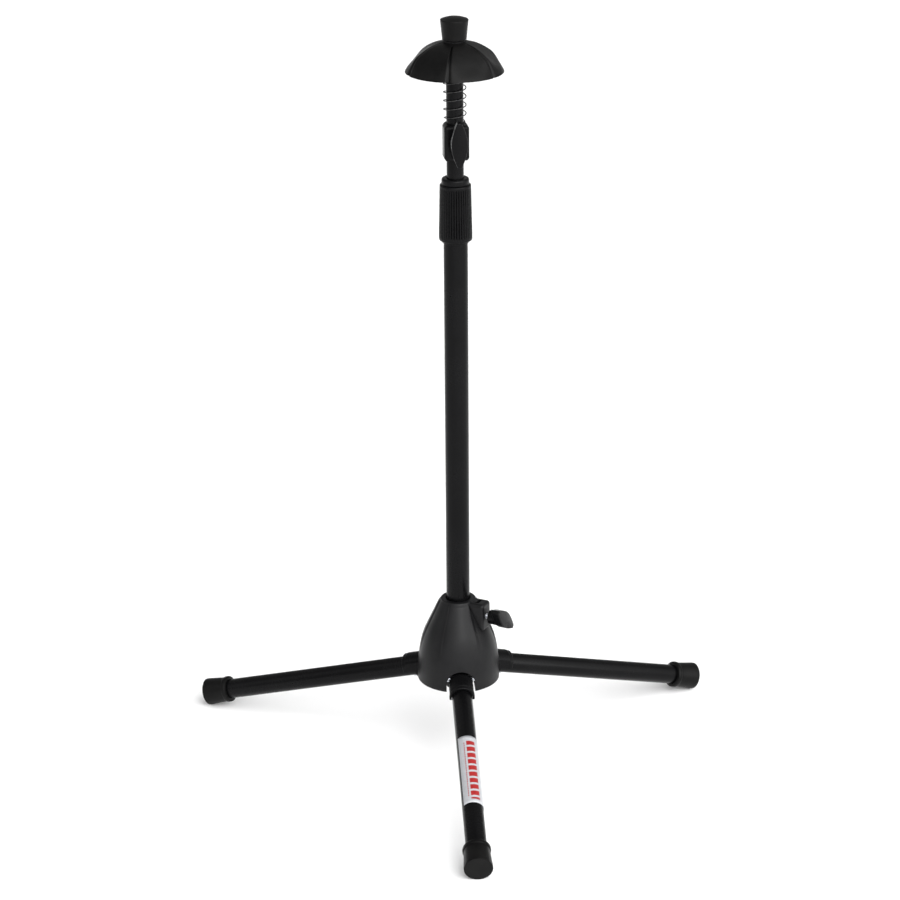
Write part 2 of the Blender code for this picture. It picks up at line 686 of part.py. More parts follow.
def build_mast(stand):
    bore = MAST_R - MAST_WALL
    turned(
        "mast_tube",
        [(bore, MAST_TOP), (MAST_R, MAST_TOP), (MAST_R, MAST_BOTTOM), (bore, MAST_BOTTOM)],
        POWDER, stand, steps=32)

    spigot = bore - GAP
    flange = MAST_BOTTOM - GAP
    foot = flange - MAST_FOOT_HEIGHT
    top = MAST_BOTTOM + MAST_PLUG_DEPTH
    turned(
        "mast_foot",
        [(0, top), (spigot, top), (spigot, flange), (MAST_FOOT_R, flange), (MAST_FOOT_R, foot), (0, foot)],
        MOULDED, stand, steps=24)

    inner = MAST_R + GAP
    seat = MAST_TOP + GAP
    head = MAST_TOP + TOP_PLUG_HEAD
    edge = TOP_PLUG_CROWN / 4
    turned(
        "top_plug",
        [(0, head + TOP_PLUG_CROWN), (TOP_PLUG_HEAD_R * 0.45, head + TOP_PLUG_CROWN * 0.8),
         (TOP_PLUG_HEAD_R * 0.8, head + TOP_PLUG_CROWN * 0.35), (TOP_PLUG_HEAD_R - edge, head),
         (TOP_PLUG_HEAD_R, head - edge), (TOP_PLUG_FOOT_R, PLUG_BOTTOM + edge),
         (TOP_PLUG_FOOT_R - edge, PLUG_BOTTOM), (inner, PLUG_BOTTOM), (inner, seat), (0, seat)],
        RUBBER, stand, steps=32)


def build_collar(stand):
    """Clamp collar: round at the back, square at the front where its knob sits."""
    axis = add_empty("collar_axis", stand, turn=(0, 0, COLLAR_TURN))
    side = COLLAR_R - COLLAR_CORNER
    front = -(COLLAR_REACH - COLLAR_CORNER)
    outline = arc(0, 0, COLLAR_R, 0, pi, 17)
    outline += arc(-side, front, COLLAR_CORNER, pi, 1.5 * pi, 4)
    outline += arc(side, front, COLLAR_CORNER, 1.5 * pi, 2 * pi, 4)
    body = prism("collar_body", outline, COLLAR_BOTTOM, COLLAR_TOP, MOULDED, axis)
    soften(body, COLLAR_CHAMFER, 1)
    cut(body, rod("collar_bore", MAST_R + GAP, COLLAR_BOTTOM - COLLAR_R, COLLAR_TOP + COLLAR_R, None, axis, sides=32))

    clamp = dict(parent=axis, at=(0, 0, COLLAR_CLAMP_Z), turn=outward(0))
    cut(body, rod("collar_hole", SCREW_R + GAP, MAST_R / 2, COLLAR_REACH * 1.3, None, sides=16, **clamp))
    cut(body, nut_pocket("collar_nut_room", COLLAR_NUT_PLACE, COLLAR_HEIGHT, 0, **clamp))
    build_nut("collar_nut", COLLAR_NUT_PLACE, **clamp)
    start = COLLAR_REACH + COLLAR_KNOB_STANDOFF
    build_knob("collar", start, MAST_R + GAP, COLLAR_KNOB_TWIST, **clamp)


def build_spring(stand):
    """Coil spring whose lowest turn narrows onto the flat top of the collar."""
    per_turn = 12
    count = SPRING_TURNS * per_turn + 1
    curve = bpy.data.curves.new("bell_spring", "CURVE")
    curve.dimensions = "3D"
    curve.bevel_depth = SPRING_WIRE_R
    curve.bevel_resolution = 2
    curve.use_fill_caps = True
    spline = curve.splines.new("POLY")
    spline.points.add(count - 1)
    rise = SPRING_LENGTH - 2 * SPRING_WIRE_R
    for index, point in enumerate(spline.points):
        angle = 2 * pi * index / per_turn
        share = index / (count - 1)
        closing = max(0.0, 1 - index / per_turn)
        radius = SPRING_R - (SPRING_R - SPRING_FOOT_R) * closing
        height = SPRING_BOTTOM + SPRING_WIRE_R + rise * share
        point.co = (radius * cos(angle), radius * sin(angle), height, 1)
    curve.materials.append(SPRING_STEEL)
    spring = bpy.data.objects.new("bell_spring", curve)
    spring.parent = stand
    PARTS.objects.link(spring)
    return spring


def cushion_side(inset, count):
    """Half section of the dome, crown to rim: part of a ball that is smaller by the inset."""
    ball = DOME_R - inset
    bottom = DOME_R - CUSHION_HEIGHT
    reach = (ball ** 2 - bottom ** 2) ** 0.5
    points = []
    for index in range(count):
        radius = reach * sin(pi / 2 * (index + 1) / count)
        points.append((radius, CUSHION_BOTTOM + (ball ** 2 - radius ** 2) ** 0.5 - bottom))
    return points


def build_bell_cushion(stand):
    """Six-lobed rubber dome that fills a bell's mouth, and the sliding core under it."""
    outer = [point for point in cushion_side(0, 11) if point[0] > CUSHION_BORE + CUSHION_WALL / 2]
    inner = [point for point in cushion_side(CUSHION_WALL, 8) if point[0] > CUSHION_BORE + CUSHION_WALL / 2]
    under = inner[0][1] + GAP
    profile = [(CUSHION_BORE, CROWN_Z), (CUSHION_BORE + CUSHION_WALL / 3, CROWN_Z)] + outer
    profile += inner[::-1] + [(CUSHION_BORE, under)]
    cushion = turned(
        "bell_cushion", profile, RUBBER, stand, turn=(0, 0, CUSHION_TURN - pi / 2), steps=8 * CUSHION_LOBES)
    bake_turned(cushion)
    for vertex in cushion.data.vertices:
        radius, angle = polar(vertex)
        share = (radius - CUSHION_BORE) / (CUSHION_R - CUSHION_BORE)
        pitch = 2 * pi / CUSHION_LOBES
        off = abs((angle + pitch / 2) % pitch - pitch / 2)
        groove = LOBE_GROOVE * exp(-(off / LOBE_GROOVE_ANGLE) ** 2) * sin(pi * min(max(share, 0), 1))
        vertex.co.z -= groove

    bore = MAST_R + GAP
    seat = CROWN_Z - CORE_SEAT_DROP
    flange_top = seat + CORE_FLANGE
    turned(
        "cushion_core",
        [(bore, CROWN_Z - GAP), (CORE_R, CROWN_Z - GAP), (CORE_R, flange_top), (CORE_FLANGE_R, flange_top),
         (CORE_FLANGE_R, seat), (CORE_SPIGOT_R, seat), (CORE_SPIGOT_R, seat - CORE_SPIGOT),
         (bore, seat - CORE_SPIGOT)],
        MOULDED, stand, steps=24)


# ---- The stand ----------------------------------------------------------------------

clear_scene()
PARTS = new_collection("brass_instrument_stand")
CUTTERS = new_collection("cutters")

MOULDED = new_material("moulded_black", (0.028, 0.028, 0.030), 0.42)
POWDER = new_material("powder_coat_black", (0.018, 0.018, 0.019), 0.38)
RUBBER = new_material("black_rubber", (0.022, 0.022, 0.022), 0.62)
STEEL = new_material("zinc_steel", (0.62, 0.63, 0.65), 0.28, 1.0)
SPRING_STEEL = new_material("spring_steel", (0.16, 0.16, 0.17), 0.35, 1.0)
PRINTED = new_material("printed_label", (0.86, 0.86, 0.87), 0.35)

STAND = add_empty("stand_axis", at=(0, AXIS_Y, 0))
build_hub(STAND)
build_knob(
    "hub", HUB_BOSS_REACH + HUB_KNOB_STANDOFF, POLE_R + GAP, HUB_KNOB_TWIST,
    STAND, (0, 0, HUB_CLAMP_Z), outward(CLAMP_TURN))
HINGES = [build_leg(index, azimuth, STAND) for index, azimuth in enumerate(LEG_AZIMUTHS)]
build_label(HINGES[0])
build_pole(STAND)
build_clutch(STAND)
build_mast(STAND)
build_collar(STAND)
build_spring(STAND)
build_bell_cushion(STAND)
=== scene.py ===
"""Looks of a folding brass instrument stand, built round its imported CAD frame.

Metres, +Z up, the front leg towards -Y, standing on z = 0.
"""

import json
import math

import bmesh
import bpy
import numpy as np
from mathutils import Matrix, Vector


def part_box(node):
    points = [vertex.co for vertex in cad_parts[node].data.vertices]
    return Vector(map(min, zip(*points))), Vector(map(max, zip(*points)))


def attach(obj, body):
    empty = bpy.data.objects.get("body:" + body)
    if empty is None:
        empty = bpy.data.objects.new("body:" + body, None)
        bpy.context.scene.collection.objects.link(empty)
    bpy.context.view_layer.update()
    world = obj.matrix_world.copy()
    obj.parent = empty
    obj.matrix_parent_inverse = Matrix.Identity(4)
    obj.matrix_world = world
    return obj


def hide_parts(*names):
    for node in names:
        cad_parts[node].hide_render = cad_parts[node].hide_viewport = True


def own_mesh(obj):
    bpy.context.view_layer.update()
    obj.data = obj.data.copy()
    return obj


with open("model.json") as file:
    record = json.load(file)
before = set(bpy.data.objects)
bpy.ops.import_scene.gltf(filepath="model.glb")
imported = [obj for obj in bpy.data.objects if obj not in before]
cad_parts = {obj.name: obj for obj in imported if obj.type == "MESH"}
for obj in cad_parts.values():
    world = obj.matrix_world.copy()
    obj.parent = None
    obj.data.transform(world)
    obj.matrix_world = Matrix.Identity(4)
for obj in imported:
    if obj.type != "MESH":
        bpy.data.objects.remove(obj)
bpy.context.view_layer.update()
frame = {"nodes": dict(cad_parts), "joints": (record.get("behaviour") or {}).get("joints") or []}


# ---- Hub -----------------------------------------------------------------------------
# The hub is one injection moulding in black glass-filled nylon. Three arched slots take
# the legs, three soft raised panels run up its sides, and a boss at the upper right holds
# the clamp's square nut. It comes off its mould with a fine satin grain.

HUB_HEIGHT = 0.0818
HUB_R = 0.0387
HUB_FLARE_R = 0.1035
HUB_SKIRT = 0.0102
HUB_SLOPE = math.radians(25)
HUB_WALL = 0.0026
HUB_EDGE = 0.0011
HUB_PANEL_RISE = 0.0011
HUB_PANEL_HALF = math.radians(31)
HUB_PANEL_SOFT = math.radians(5.5)
HUB_PANEL_FADE_IN = 0.05     # shares of the hub's height, from the top
HUB_PANEL_END = 0.72
HUB_PANEL_FADE_OUT = 0.35
HUB_SIDES = 288
HUB_BORE = 0.0113
HUB_BORE_CHAMFER = 0.0008
HUB_HOLLOW_RISE = 0.040
HUB_SOFT_EDGE = 0.0005
HUB_SLEEVE_R = 0.0138
HUB_SLEEVE_DROP = 0.0047
SLOT_HALF = 0.0135
SLOT_BACK = 0.0143
BOSS_HALF = 0.0085
BOSS_REACH = 0.0300
BOSS_CORNER = 0.0042
BOSS_EDGE = 0.0026
BOSS_ROOT = 0.0015
NUT_POCKET_HALF = 0.0043
NUT_POCKET_DEPTH = 0.0032
HUB_NUT_PLACE = 0.0202
CLAMP_DROP = 0.0138
CLAMP_TURN = math.radians(60)
SCREW_HOLE_R = 0.0028
LEG_SPREAD = math.radians(115.25)
LEG_SLOPE = math.radians(16.6)
SOCKET_BACK_R = 0.0127
SOCKET_START = 0.006
FIT = 0.0003


def fillet(corners, radius, steps=6, closed=False):
    """Round the corners of a line of points.

    Each corner P becomes the curve (1-t)^2 A + 2t(1-t) P + t^2 B, where A and B lie one
    radius back and one radius on along its two sides, and never past 45% of a side.
    """
    corners = np.asarray(corners, float)
    radius = np.broadcast_to(np.asarray(radius, float), (len(corners),))
    back = np.roll(corners, 1, 0) - corners
    ahead = np.roll(corners, -1, 0) - corners
    back_length = np.linalg.norm(back, axis=1) + 1e-12
    ahead_length = np.linalg.norm(ahead, axis=1) + 1e-12
    start = corners + back * (np.minimum(radius / back_length, 0.45))[:, None]
    end = corners + ahead * (np.minimum(radius / ahead_length, 0.45))[:, None]
    t = np.linspace(0, 1, steps)[None, :, None]
    curve = (1 - t) ** 2 * start[:, None] + 2 * t * (1 - t) * corners[:, None] + t ** 2 * end[:, None]
    if closed:
        return curve.reshape(-1, 2)
    return np.vstack([corners[:1], curve[1:-1].reshape(-1, 2), corners[-1:]])


def smooth_step(value):
    """0 below 0, 1 above 1, and 3t^2 - 2t^3 between them."""
    t = np.clip(value, 0, 1)
    return t * t * (3 - 2 * t)


def skin(name, rows, material, ring=False, sharp=38):
    """Mesh on a grid of points: rows[i, j] is joined to its neighbours in i and in j.

    Columns always close on themselves. Rows close as well on a ring, such as a tube with a
    bore; otherwise the first and the last row shrink to a point and are welded there.
    """
    count, around = rows.shape[:2]
    i, j = np.meshgrid(np.arange(count if ring else count - 1), np.arange(around), indexing="ij")
    below, beside = (i + 1) % count, (j + 1) % around
    faces = np.stack([i * around + j, i * around + beside, below * around + beside, below * around + j], -1)
    mesh = bpy.data.meshes.new(name)
    mesh.from_pydata(rows.reshape(-1, 3).tolist(), [], faces.reshape(-1, 4).tolist())
    weld(mesh, sharp)
    if material:
        mesh.materials.append(material)
    obj = bpy.data.objects.new(name, mesh)
    bpy.context.scene.collection.objects.link(obj)
    return obj


def weld(mesh, sharp):
    """Merge doubled points, point the faces outward, and keep only steep edges sharp."""
    work = bmesh.new()
    work.from_mesh(mesh)
    bmesh.ops.remove_doubles(work, verts=work.verts, dist=2e-6)
    bmesh.ops.dissolve_degenerate(work, edges=work.edges, dist=1e-7)
    bmesh.ops.recalc_face_normals(work, faces=work.faces)
    work.to_mesh(mesh)
    work.free()
    mesh.shade_smooth()
    mesh.set_sharp_from_angle(angle=math.radians(sharp))


def seat(origin, x_axis, y_axis, z_axis):
    """A place to build on: its origin, and the directions of its own X, Y and Z as rows."""
    return np.asarray(origin, float), np.array([x_axis, y_axis, z_axis], float)


def settle(points, place):
    """Points given in a seat's own directions, moved into the stand's frame."""
    return place[0] + points @ place[1]


def lathe(name, profile, place, material, sides=96, ring=False, sharp=38):
    """Surface of revolution: (radius, height) pairs carried round the seat's own Z."""
    profile = np.asarray(profile, float)
    angle = np.arange(sides) * 2 * math.pi / sides
    radius, height = profile[:, :1], profile[:, 1:]
    rows = np.stack([radius * np.cos(angle), radius * np.sin(angle), height + 0 * angle], -1)
    return skin(name, settle(rows, place), material, ring, sharp)


def stack(name, outline, levels, place, material, sharp=38):
    """Flat outline carried along the seat's own Z and drawn in at each (height, inset) level.

    The outline runs anticlockwise, and a point is drawn in along its own normal, which is
    square to the line between its two neighbours. The two ends close at their middles.
    """
    outline = np.asarray(outline, float)
    along = np.roll(outline, -1, 0) - np.roll(outline, 1, 0)
    normal = np.stack([along[:, 1], -along[:, 0]], 1)
    normal /= np.linalg.norm(normal, axis=1)[:, None] + 1e-12
    levels = np.asarray(levels, float)
    flat = outline[None] - normal[None] * levels[:, 1][:, None, None]
    height = np.broadcast_to(levels[:, 0][:, None, None], flat.shape[:2] + (1,))
    rows = np.concatenate([flat, height], -1)
    middle = np.broadcast_to(outline.mean(0), outline.shape)
    first = np.concatenate([middle, height[0]], -1)[None]
    last = np.concatenate([middle, height[-1]], -1)[None]
    return skin(name, settle(np.concatenate([first, rows, last]), place), material, sharp=sharp)


def round_levels(low, high, radius, steps=5, low_too=True):
    """Levels of a stacked piece whose end edges are quarter rounds of one radius."""
    turn = np.linspace(0, math.pi / 2, steps)
    top = np.stack([high - radius * (1 - np.sin(turn)), radius * (1 - np.cos(turn))], 1)
    base = np.stack([low + radius * (1 - np.sin(turn[::-1])), radius * (1 - np.cos(turn[::-1]))], 1)
    return np.vstack([base if low_too else [[low, 0]], top])


def carve(obj, tool, operation="DIFFERENCE"):
    """Work a tool into a piece by an exact boolean, and throw the tool away."""
    modifier = obj.modifiers.new(operation.title(), "BOOLEAN")
    modifier.operation = operation
    modifier.solver = "EXACT"
    modifier.object = tool
    graph = bpy.context.evaluated_depsgraph_get()
    done = bpy.data.meshes.new_from_object(obj.evaluated_get(graph))
    obj.modifiers.clear()
    old, obj.data = obj.data, done
    bpy.data.meshes.remove(old)
    bpy.data.objects.remove(tool, do_unlink=True)
    return obj


def even_light(obj, sharp=38):
    """Weld a carved piece again and weigh its normals by face area, so that flats stay flat."""
    weld(obj.data, sharp)
    finish = obj.modifiers.new("Normals", "WEIGHTED_NORMAL")
    finish.keep_sharp = True
    return obj


def dress(obj, body, slot, *nodes):
    """The piece rides on its body and stands for its CAD nodes, which are hidden; the slot is not used."""
    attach(obj, body)
    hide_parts(*nodes)
    return obj


def finish_kit(name):
    """A new material: itself, its shader, and two short helpers that add and join nodes."""
    material = bpy.data.materials.new(name)
    material.use_nodes = True
    tree = material.node_tree
    shader = tree.nodes["Principled BSDF"]

    def node(kind, values=(), **settings):
        made = tree.nodes.new("ShaderNode" + kind)
        for key, value in settings.items():
            setattr(made, key, value)
        for key, value in dict(values).items():
            made.inputs[key].default_value = value
        return made

    def join(source, output, target, entry):
        tree.links.new(source.outputs[output], target.inputs[entry])
        return target

    return material, shader, node, join


def shade_range(node, join, source, output, low, high):
    """Stretch a texture's middle values over a range of grey or of roughness."""
    ramp = node("MapRange", {"From Min": 0.3, "From Max": 0.7, "To Min": low, "To Max": high})
    return join(source, output, ramp, "Value")


def grained(name, dark, light, rough, grain, depth, specular, cloud=45.0, extra=()):
    """Dull black finish: cloudy colour and roughness, and a fine two-size grain as bump."""
    material, shader, node, join = finish_kit(name)
    for key, value in dict(extra).items():
        shader.inputs[key].default_value = value
    shader.inputs["Specular IOR Level"].default_value = specular
    where = node("TexCoord")
    clouds = node("TexNoise", {"Scale": cloud, "Detail": 4.0, "Roughness": 0.6})
    join(where, "Object", clouds, "Vector")
    fine = node("TexNoise", {"Scale": grain, "Detail": 3.0, "Roughness": 0.65})
    join(where, "Object", fine, "Vector")
    tint = node("Mix", data_type="RGBA")
    tint.inputs[6].default_value = (*dark, 1)
    tint.inputs[7].default_value = (*light, 1)
    blend = shade_range(node, join, clouds, "Fac", 0.0, 1.0)
    speck = shade_range(node, join, fine, "Fac", -0.25, 0.25)
    both = node("Math", operation="ADD", use_clamp=True)
    join(blend, "Result", both, 0)
    join(speck, "Result", both, 1)
    join(both, 0, tint, 0)
    join(tint, 2, shader, "Base Color")
    gloss = shade_range(node, join, clouds, "Fac", rough - 0.05, rough + 0.05)
    fleck = shade_range(node, join, fine, "Fac", -0.04, 0.04)
    rougher = node("Math", operation="ADD", use_clamp=True)
    join(gloss, "Result", rougher, 0)
    join(fleck, "Result", rougher, 1)
    join(rougher, 0, shader, "Roughness")
    pits = node("TexVoronoi", {"Scale": grain * 0.7})
    join(where, "Object", pits, "Vector")
    relief = node("Math", operation="ADD")
    join(fine, "Fac", relief, 0)
    join(pits, "Distance", relief, 1)
    bump = node("Bump", {"Strength": 0.5, "Distance": depth})
    join(relief, 0, bump, "Height")
    join(bump, "Normal", shader, "Normal")
    return material


nylon = grained(
    "moulded_nylon", (0.0036, 0.0036, 0.0040), (0.0066, 0.0066, 0.0072), 0.36,
    grain=2600.0, depth=0.00005, specular=0.16)

zinc, zinc_shader, node, join = finish_kit("zinc_plate")
zinc_shader.inputs["Metallic"].default_value = 1.0
where = node("TexCoord")
streaks = node("TexNoise", {"Scale": 700.0, "Detail": 3.0})
join(where, "Object", streaks, "Vector")
bloom = node("Mix", data_type="RGBA")
bloom.inputs[6].default_value = (0.50, 0.53, 0.60, 1)
bloom.inputs[7].default_value = (0.80, 0.81, 0.82, 1)
join(shade_range(node, join, streaks, "Fac", 0.0, 1.0), "Result", bloom, 0)
join(bloom, 2, zinc_shader, "Base Color")
join(shade_range(node, join, streaks, "Fac", 0.22, 0.38), "Result", zinc_shader, "Roughness")
bump = node("Bump", {"Strength": 0.3, "Distance": 0.00003})
join(streaks, "Fac", bump, "Height")
join(bump, "Normal", zinc_shader, "Normal")

pole_low, pole_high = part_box("pole_tube")
AXIS = np.array([(pole_low.x + pole_high.x) / 2, (pole_low.y + pole_high.y) / 2, 0.0])
upright = seat(AXIS, (1, 0, 0), (0, 1, 0), (0, 0, 1))
joints = {joint["name"]: joint for joint in frame["joints"]}
UP = np.array([0.0, 0.0, 1.0])


def outward(azimuth, height=0.0):
    """Seat on the stand's axis that faces outward: X sideways, Y up, Z away from the axis."""
    side = (math.cos(azimuth), math.sin(azimuth), 0)
    away = (math.sin(azimuth), -math.cos(azimuth), 0)
    return seat(AXIS + UP * height, side, UP, away)


hub_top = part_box("hub_shell")[1].z
hub_bottom = hub_top - HUB_HEIGHT
hub_shoulder = hub_bottom + HUB_SKIRT
hinge_z = joints["leg_1_fold"]["pos_m"][2]
slot_roof = hinge_z + SOCKET_BACK_R / math.cos(LEG_SLOPE) - SOCKET_START * math.sin(LEG_SLOPE) + FIT


def hub_radius(height, inset=0.0):
    """Outer side: upright skirt, then an arc of the flare's radius, then a straight cone."""
    rise = np.clip(height - hub_shoulder, 0, None)
    flare = HUB_FLARE_R - inset
    turned_z = flare * math.sin(HUB_SLOPE)
    arc = HUB_R - HUB_FLARE_R + np.sqrt(flare ** 2 - np.minimum(rise, turned_z) ** 2)
    return arc - np.clip(rise - turned_z, 0, None) * math.tan(HUB_SLOPE)


side_z = np.linspace(hub_top - HUB_EDGE, hub_bottom + HUB_EDGE, 110)
side = np.stack([hub_radius(side_z), side_z], 1)
quarter = np.linspace(0, math.pi / 2, 6)[:, None]
top_in = side[0] + [-HUB_EDGE, 0]
brow = top_in + HUB_EDGE * np.hstack([np.sin(quarter), np.cos(quarter)])
sole_in = side[-1] + [-HUB_EDGE, 0]
sole = sole_in + HUB_EDGE * np.hstack([np.cos(quarter), -np.sin(quarter)])
sleeve_z = hub_bottom - HUB_SLEEVE_DROP
profile = np.vstack([
    [[HUB_BORE, sleeve_z], [HUB_BORE, hub_top - HUB_BORE_CHAMFER], [HUB_BORE + HUB_BORE_CHAMFER, hub_top]],
    brow, side[1:-1], sole, [[HUB_SLEEVE_R, hub_bottom], [HUB_SLEEVE_R, sleeve_z]]])
angle = np.arange(HUB_SIDES) * 2 * math.pi / HUB_SIDES
leg_turns = [0.0, LEG_SPREAD, -LEG_SPREAD]
half_turns = [(angle + 1.5 * math.pi - turn) % (2 * math.pi) - math.pi for turn in leg_turns]
from_leg = np.abs(half_turns).min(0)
plateau = smooth_step((HUB_PANEL_HALF - from_leg) / HUB_PANEL_SOFT + 0.5)
down = (hub_top - profile[:, 1]) / HUB_HEIGHT
fade = smooth_step(down / HUB_PANEL_FADE_IN) * smooth_step((HUB_PANEL_END - down) / HUB_PANEL_FADE_OUT)
fade = fade * (profile[:, 0] > HUB_SLEEVE_R + HUB_SOFT_EDGE)
radius = profile[:, :1] + HUB_PANEL_RISE * fade[:, None] * plateau[None, :]
rows = np.stack([radius * np.cos(angle), radius * np.sin(angle), profile[:, 1:] + 0 * angle], -1)
hub = skin("hub_moulding", settle(rows, upright), nylon, ring=True)

# The hollow is a turned room less a wall round each leg's slot, so that the slots have sides.
below = sleeve_z - 0.01
inner_z = np.linspace(hub_shoulder + HUB_HOLLOW_RISE, hub_shoulder, 20)
hollow = np.vstack([
    np.stack([hub_radius(inner_z, HUB_WALL), inner_z], 1), [[HUB_R - HUB_WALL, below]],
    [[HUB_SLEEVE_R + FIT, below], [HUB_SLEEVE_R + FIT, inner_z[0]]]])
room = lathe("room", hollow, upright, None, sides=96, ring=True)
for turn in leg_turns:
    half, roof = SLOT_HALF + HUB_WALL, slot_roof + HUB_WALL
    wall = [(-half, below - 0.01), (half, below - 0.01), (half, roof), (-half, roof)]
    carve(room, stack("wall", wall, [(0, 0), (HUB_R * 1.2, 0)], outward(turn), None))
carve(hub, room)

clamp_seat = outward(CLAMP_TURN, hub_top - CLAMP_DROP)
boss_half = CLAMP_DROP - FIT
boss_corners = [
    (-BOSS_HALF, -boss_half), (BOSS_HALF, -boss_half), (BOSS_HALF, boss_half), (-BOSS_HALF, boss_half)]
boss_outline = fillet(boss_corners, BOSS_CORNER, steps=9, closed=True)
boss_levels = round_levels(HUB_SLEEVE_R - BOSS_ROOT, BOSS_REACH, BOSS_EDGE, low_too=False)
boss = stack("boss", boss_outline, boss_levels, clamp_seat, None)
carve(hub, boss, "UNION")
arch = np.linspace(0, math.pi, 40)
arch_z = slot_roof - SLOT_HALF
opening = np.vstack([
    [[SLOT_HALF, below]],
    np.stack([SLOT_HALF * np.cos(arch), arch_z + SLOT_HALF * np.sin(arch)], 1), [[-SLOT_HALF, below]]])
for turn in leg_turns:
    carve(hub, stack("opening", opening, [(SLOT_BACK, 0), (HUB_R * 1.2, 0)], outward(turn), None))
bore = [(0, -0.02), (HUB_BORE, -0.02), (HUB_BORE, hub_top * 1.2), (0, hub_top * 1.2)]
carve(hub, lathe("bore", bore, upright, None))
screw_way = [(0, 0.006), (SCREW_HOLE_R, 0.006), (SCREW_HOLE_R, 0.04), (0, 0.04)]
carve(hub, lathe("screw_way", screw_way, clamp_seat, None, sides=40))
pocket = [(-NUT_POCKET_HALF, -NUT_POCKET_HALF), (NUT_POCKET_HALF, -NUT_POCKET_HALF),
          (NUT_POCKET_HALF, 0.05), (-NUT_POCKET_HALF, 0.05)]
nut_room = [(HUB_NUT_PLACE, 0), (HUB_NUT_PLACE + NUT_POCKET_DEPTH, 0)]
carve(hub, stack("pocket", pocket, nut_room, clamp_seat, None))
weld(hub.data, 30)
soften = hub.modifiers.new("Edges", "BEVEL")
soften.width = HUB_SOFT_EDGE
soften.segments = 2
soften.limit_method = "ANGLE"
soften.angle_limit = math.radians(50)
normals = hub.modifiers.new("Normals", "WEIGHTED_NORMAL")
normals.keep_sharp = True
dress(hub, "hub", "moulded", "hub_shell")
for name in ("hub_nut", "leg_pin_1", "leg_pin_2", "leg_pin_3"):
    frame["nodes"][name].material_slots[0].material = zinc


# ---- Hub clamp -----------------------------------------------------------------------
# A zinc-plated M5 screw with a wing knob of glossy black acetal pressed on it. The knob is
# a leaf-shaped wing on a round neck, and its outer face is slightly crowned.

SCREW_R = 0.0025
SCREW_PITCH = 0.0008
THREAD_DEPTH = 0.00028
KNOB_SPAN = 0.041
KNOB_WIDTH = 0.0148
KNOB_TIP = 0.0036
KNOB_NECK_R = 0.0068
KNOB_NECK = 0.0090
KNOB_DEPTH = 0.018
KNOB_EDGE = 0.0011
KNOB_CROWN = 0.0007
KNOB_CROWN_RIM = 0.92       # share of the leaf at which the crown begins
KNOB_LEAF = 1.7
KNOB_TIP_ROUND = 0.0005
KNOB_NECK_EDGE = 0.0006
KNOB_NECK_FOOT = 0.0003
SCREW_GRIP = 0.010
HUB_KNOB_START = 0.0333
HUB_KNOB_TWIST = math.radians(-40)

acetal = grained(
    "moulded_acetal", (0.0012, 0.0012, 0.0014), (0.0030, 0.0030, 0.0033), 0.27,
    grain=2200.0, depth=0.00003, specular=0.10)


def threaded(name, start, end, place):
    """Screw: radius falls from R by half a depth times 1 - cos(2 pi z / pitch - angle)."""
    height = np.arange(start, end, SCREW_PITCH / 7)[:, None]
    angle = np.arange(28) * 2 * math.pi / 28
    groove = (1 - np.cos(2 * math.pi * height / SCREW_PITCH - angle)) / 2
    radius = SCREW_R - THREAD_DEPTH * groove ** 2
    rows = np.stack([radius * np.cos(angle), radius * np.sin(angle), height + 0 * angle], -1)
    first, last = rows[:1].copy(), rows[-1:].copy()
    first[..., :2] = 0
    last[..., :2] = 0
    return skin(name, settle(np.concatenate([first, rows, last]), place), zinc, sharp=60)


def twisted(place, angle):
    """The same seat, turned about its own Z."""
    cos, sin = math.cos(angle), math.sin(angle)
    return place[0], np.array([[cos, sin, 0], [-sin, cos, 0], [0, 0, 1]]) @ place[1]


def wing_knob(name, start, twist, place):
    """One skin from the screw's way, round the neck, over the leaf and in to its middle.

    The leaf's width is tip + (middle - tip)(1 - |share of the half length|^power). Each of
    its points pairs with the neck's point at the same angle, and its edges are quarter
    rounds. The outer face rises to its middle by a crown times 1 - share^2.
    """
    place = twisted((place[0] + start * place[1][2], place[1]), twist)
    share = np.cos(np.linspace(0, math.pi, 41))
    width = KNOB_TIP + (KNOB_WIDTH - KNOB_TIP) * (1 - np.abs(share) ** KNOB_LEAF)
    upper = np.stack([KNOB_SPAN / 2 * share, width / 2], 1)
    leaf = fillet(np.vstack([upper, -upper]), KNOB_TIP_ROUND, steps=3, closed=True)
    along = np.roll(leaf, -1, 0) - np.roll(leaf, 1, 0)
    inward = np.stack([-along[:, 1], along[:, 0]], 1) / np.linalg.norm(along, axis=1)[:, None]
    angle = np.arctan2(leaf[:, 1], leaf[:, 0])
    circle = np.stack([np.cos(angle), np.sin(angle)], 1)
    bore, neck = SCREW_HOLE_R * circle, KNOB_NECK_R * circle
    tiers = [
        (0 * circle, SCREW_GRIP + FIT), (bore, SCREW_GRIP + FIT), (bore, 0.0),
        (neck - KNOB_NECK_EDGE * circle, 0.0), (neck, KNOB_NECK_EDGE),
        (neck, KNOB_NECK - KNOB_TIP_ROUND), (neck + KNOB_NECK_FOOT * circle, KNOB_NECK)]
    for height, inset in round_levels(KNOB_NECK, KNOB_DEPTH - KNOB_CROWN, KNOB_EDGE, steps=6):
        tiers.append((leaf + inset * inward, height))
    edge = leaf + KNOB_EDGE * inward
    for share in np.linspace(KNOB_CROWN_RIM, 0, 10):
        tiers.append((edge * share, KNOB_DEPTH - KNOB_CROWN * share ** 2))
    rows = np.stack([np.insert(flat, 2, height, 1) for flat, height in tiers])
    return skin(name, settle(rows, place), acetal, sharp=40)


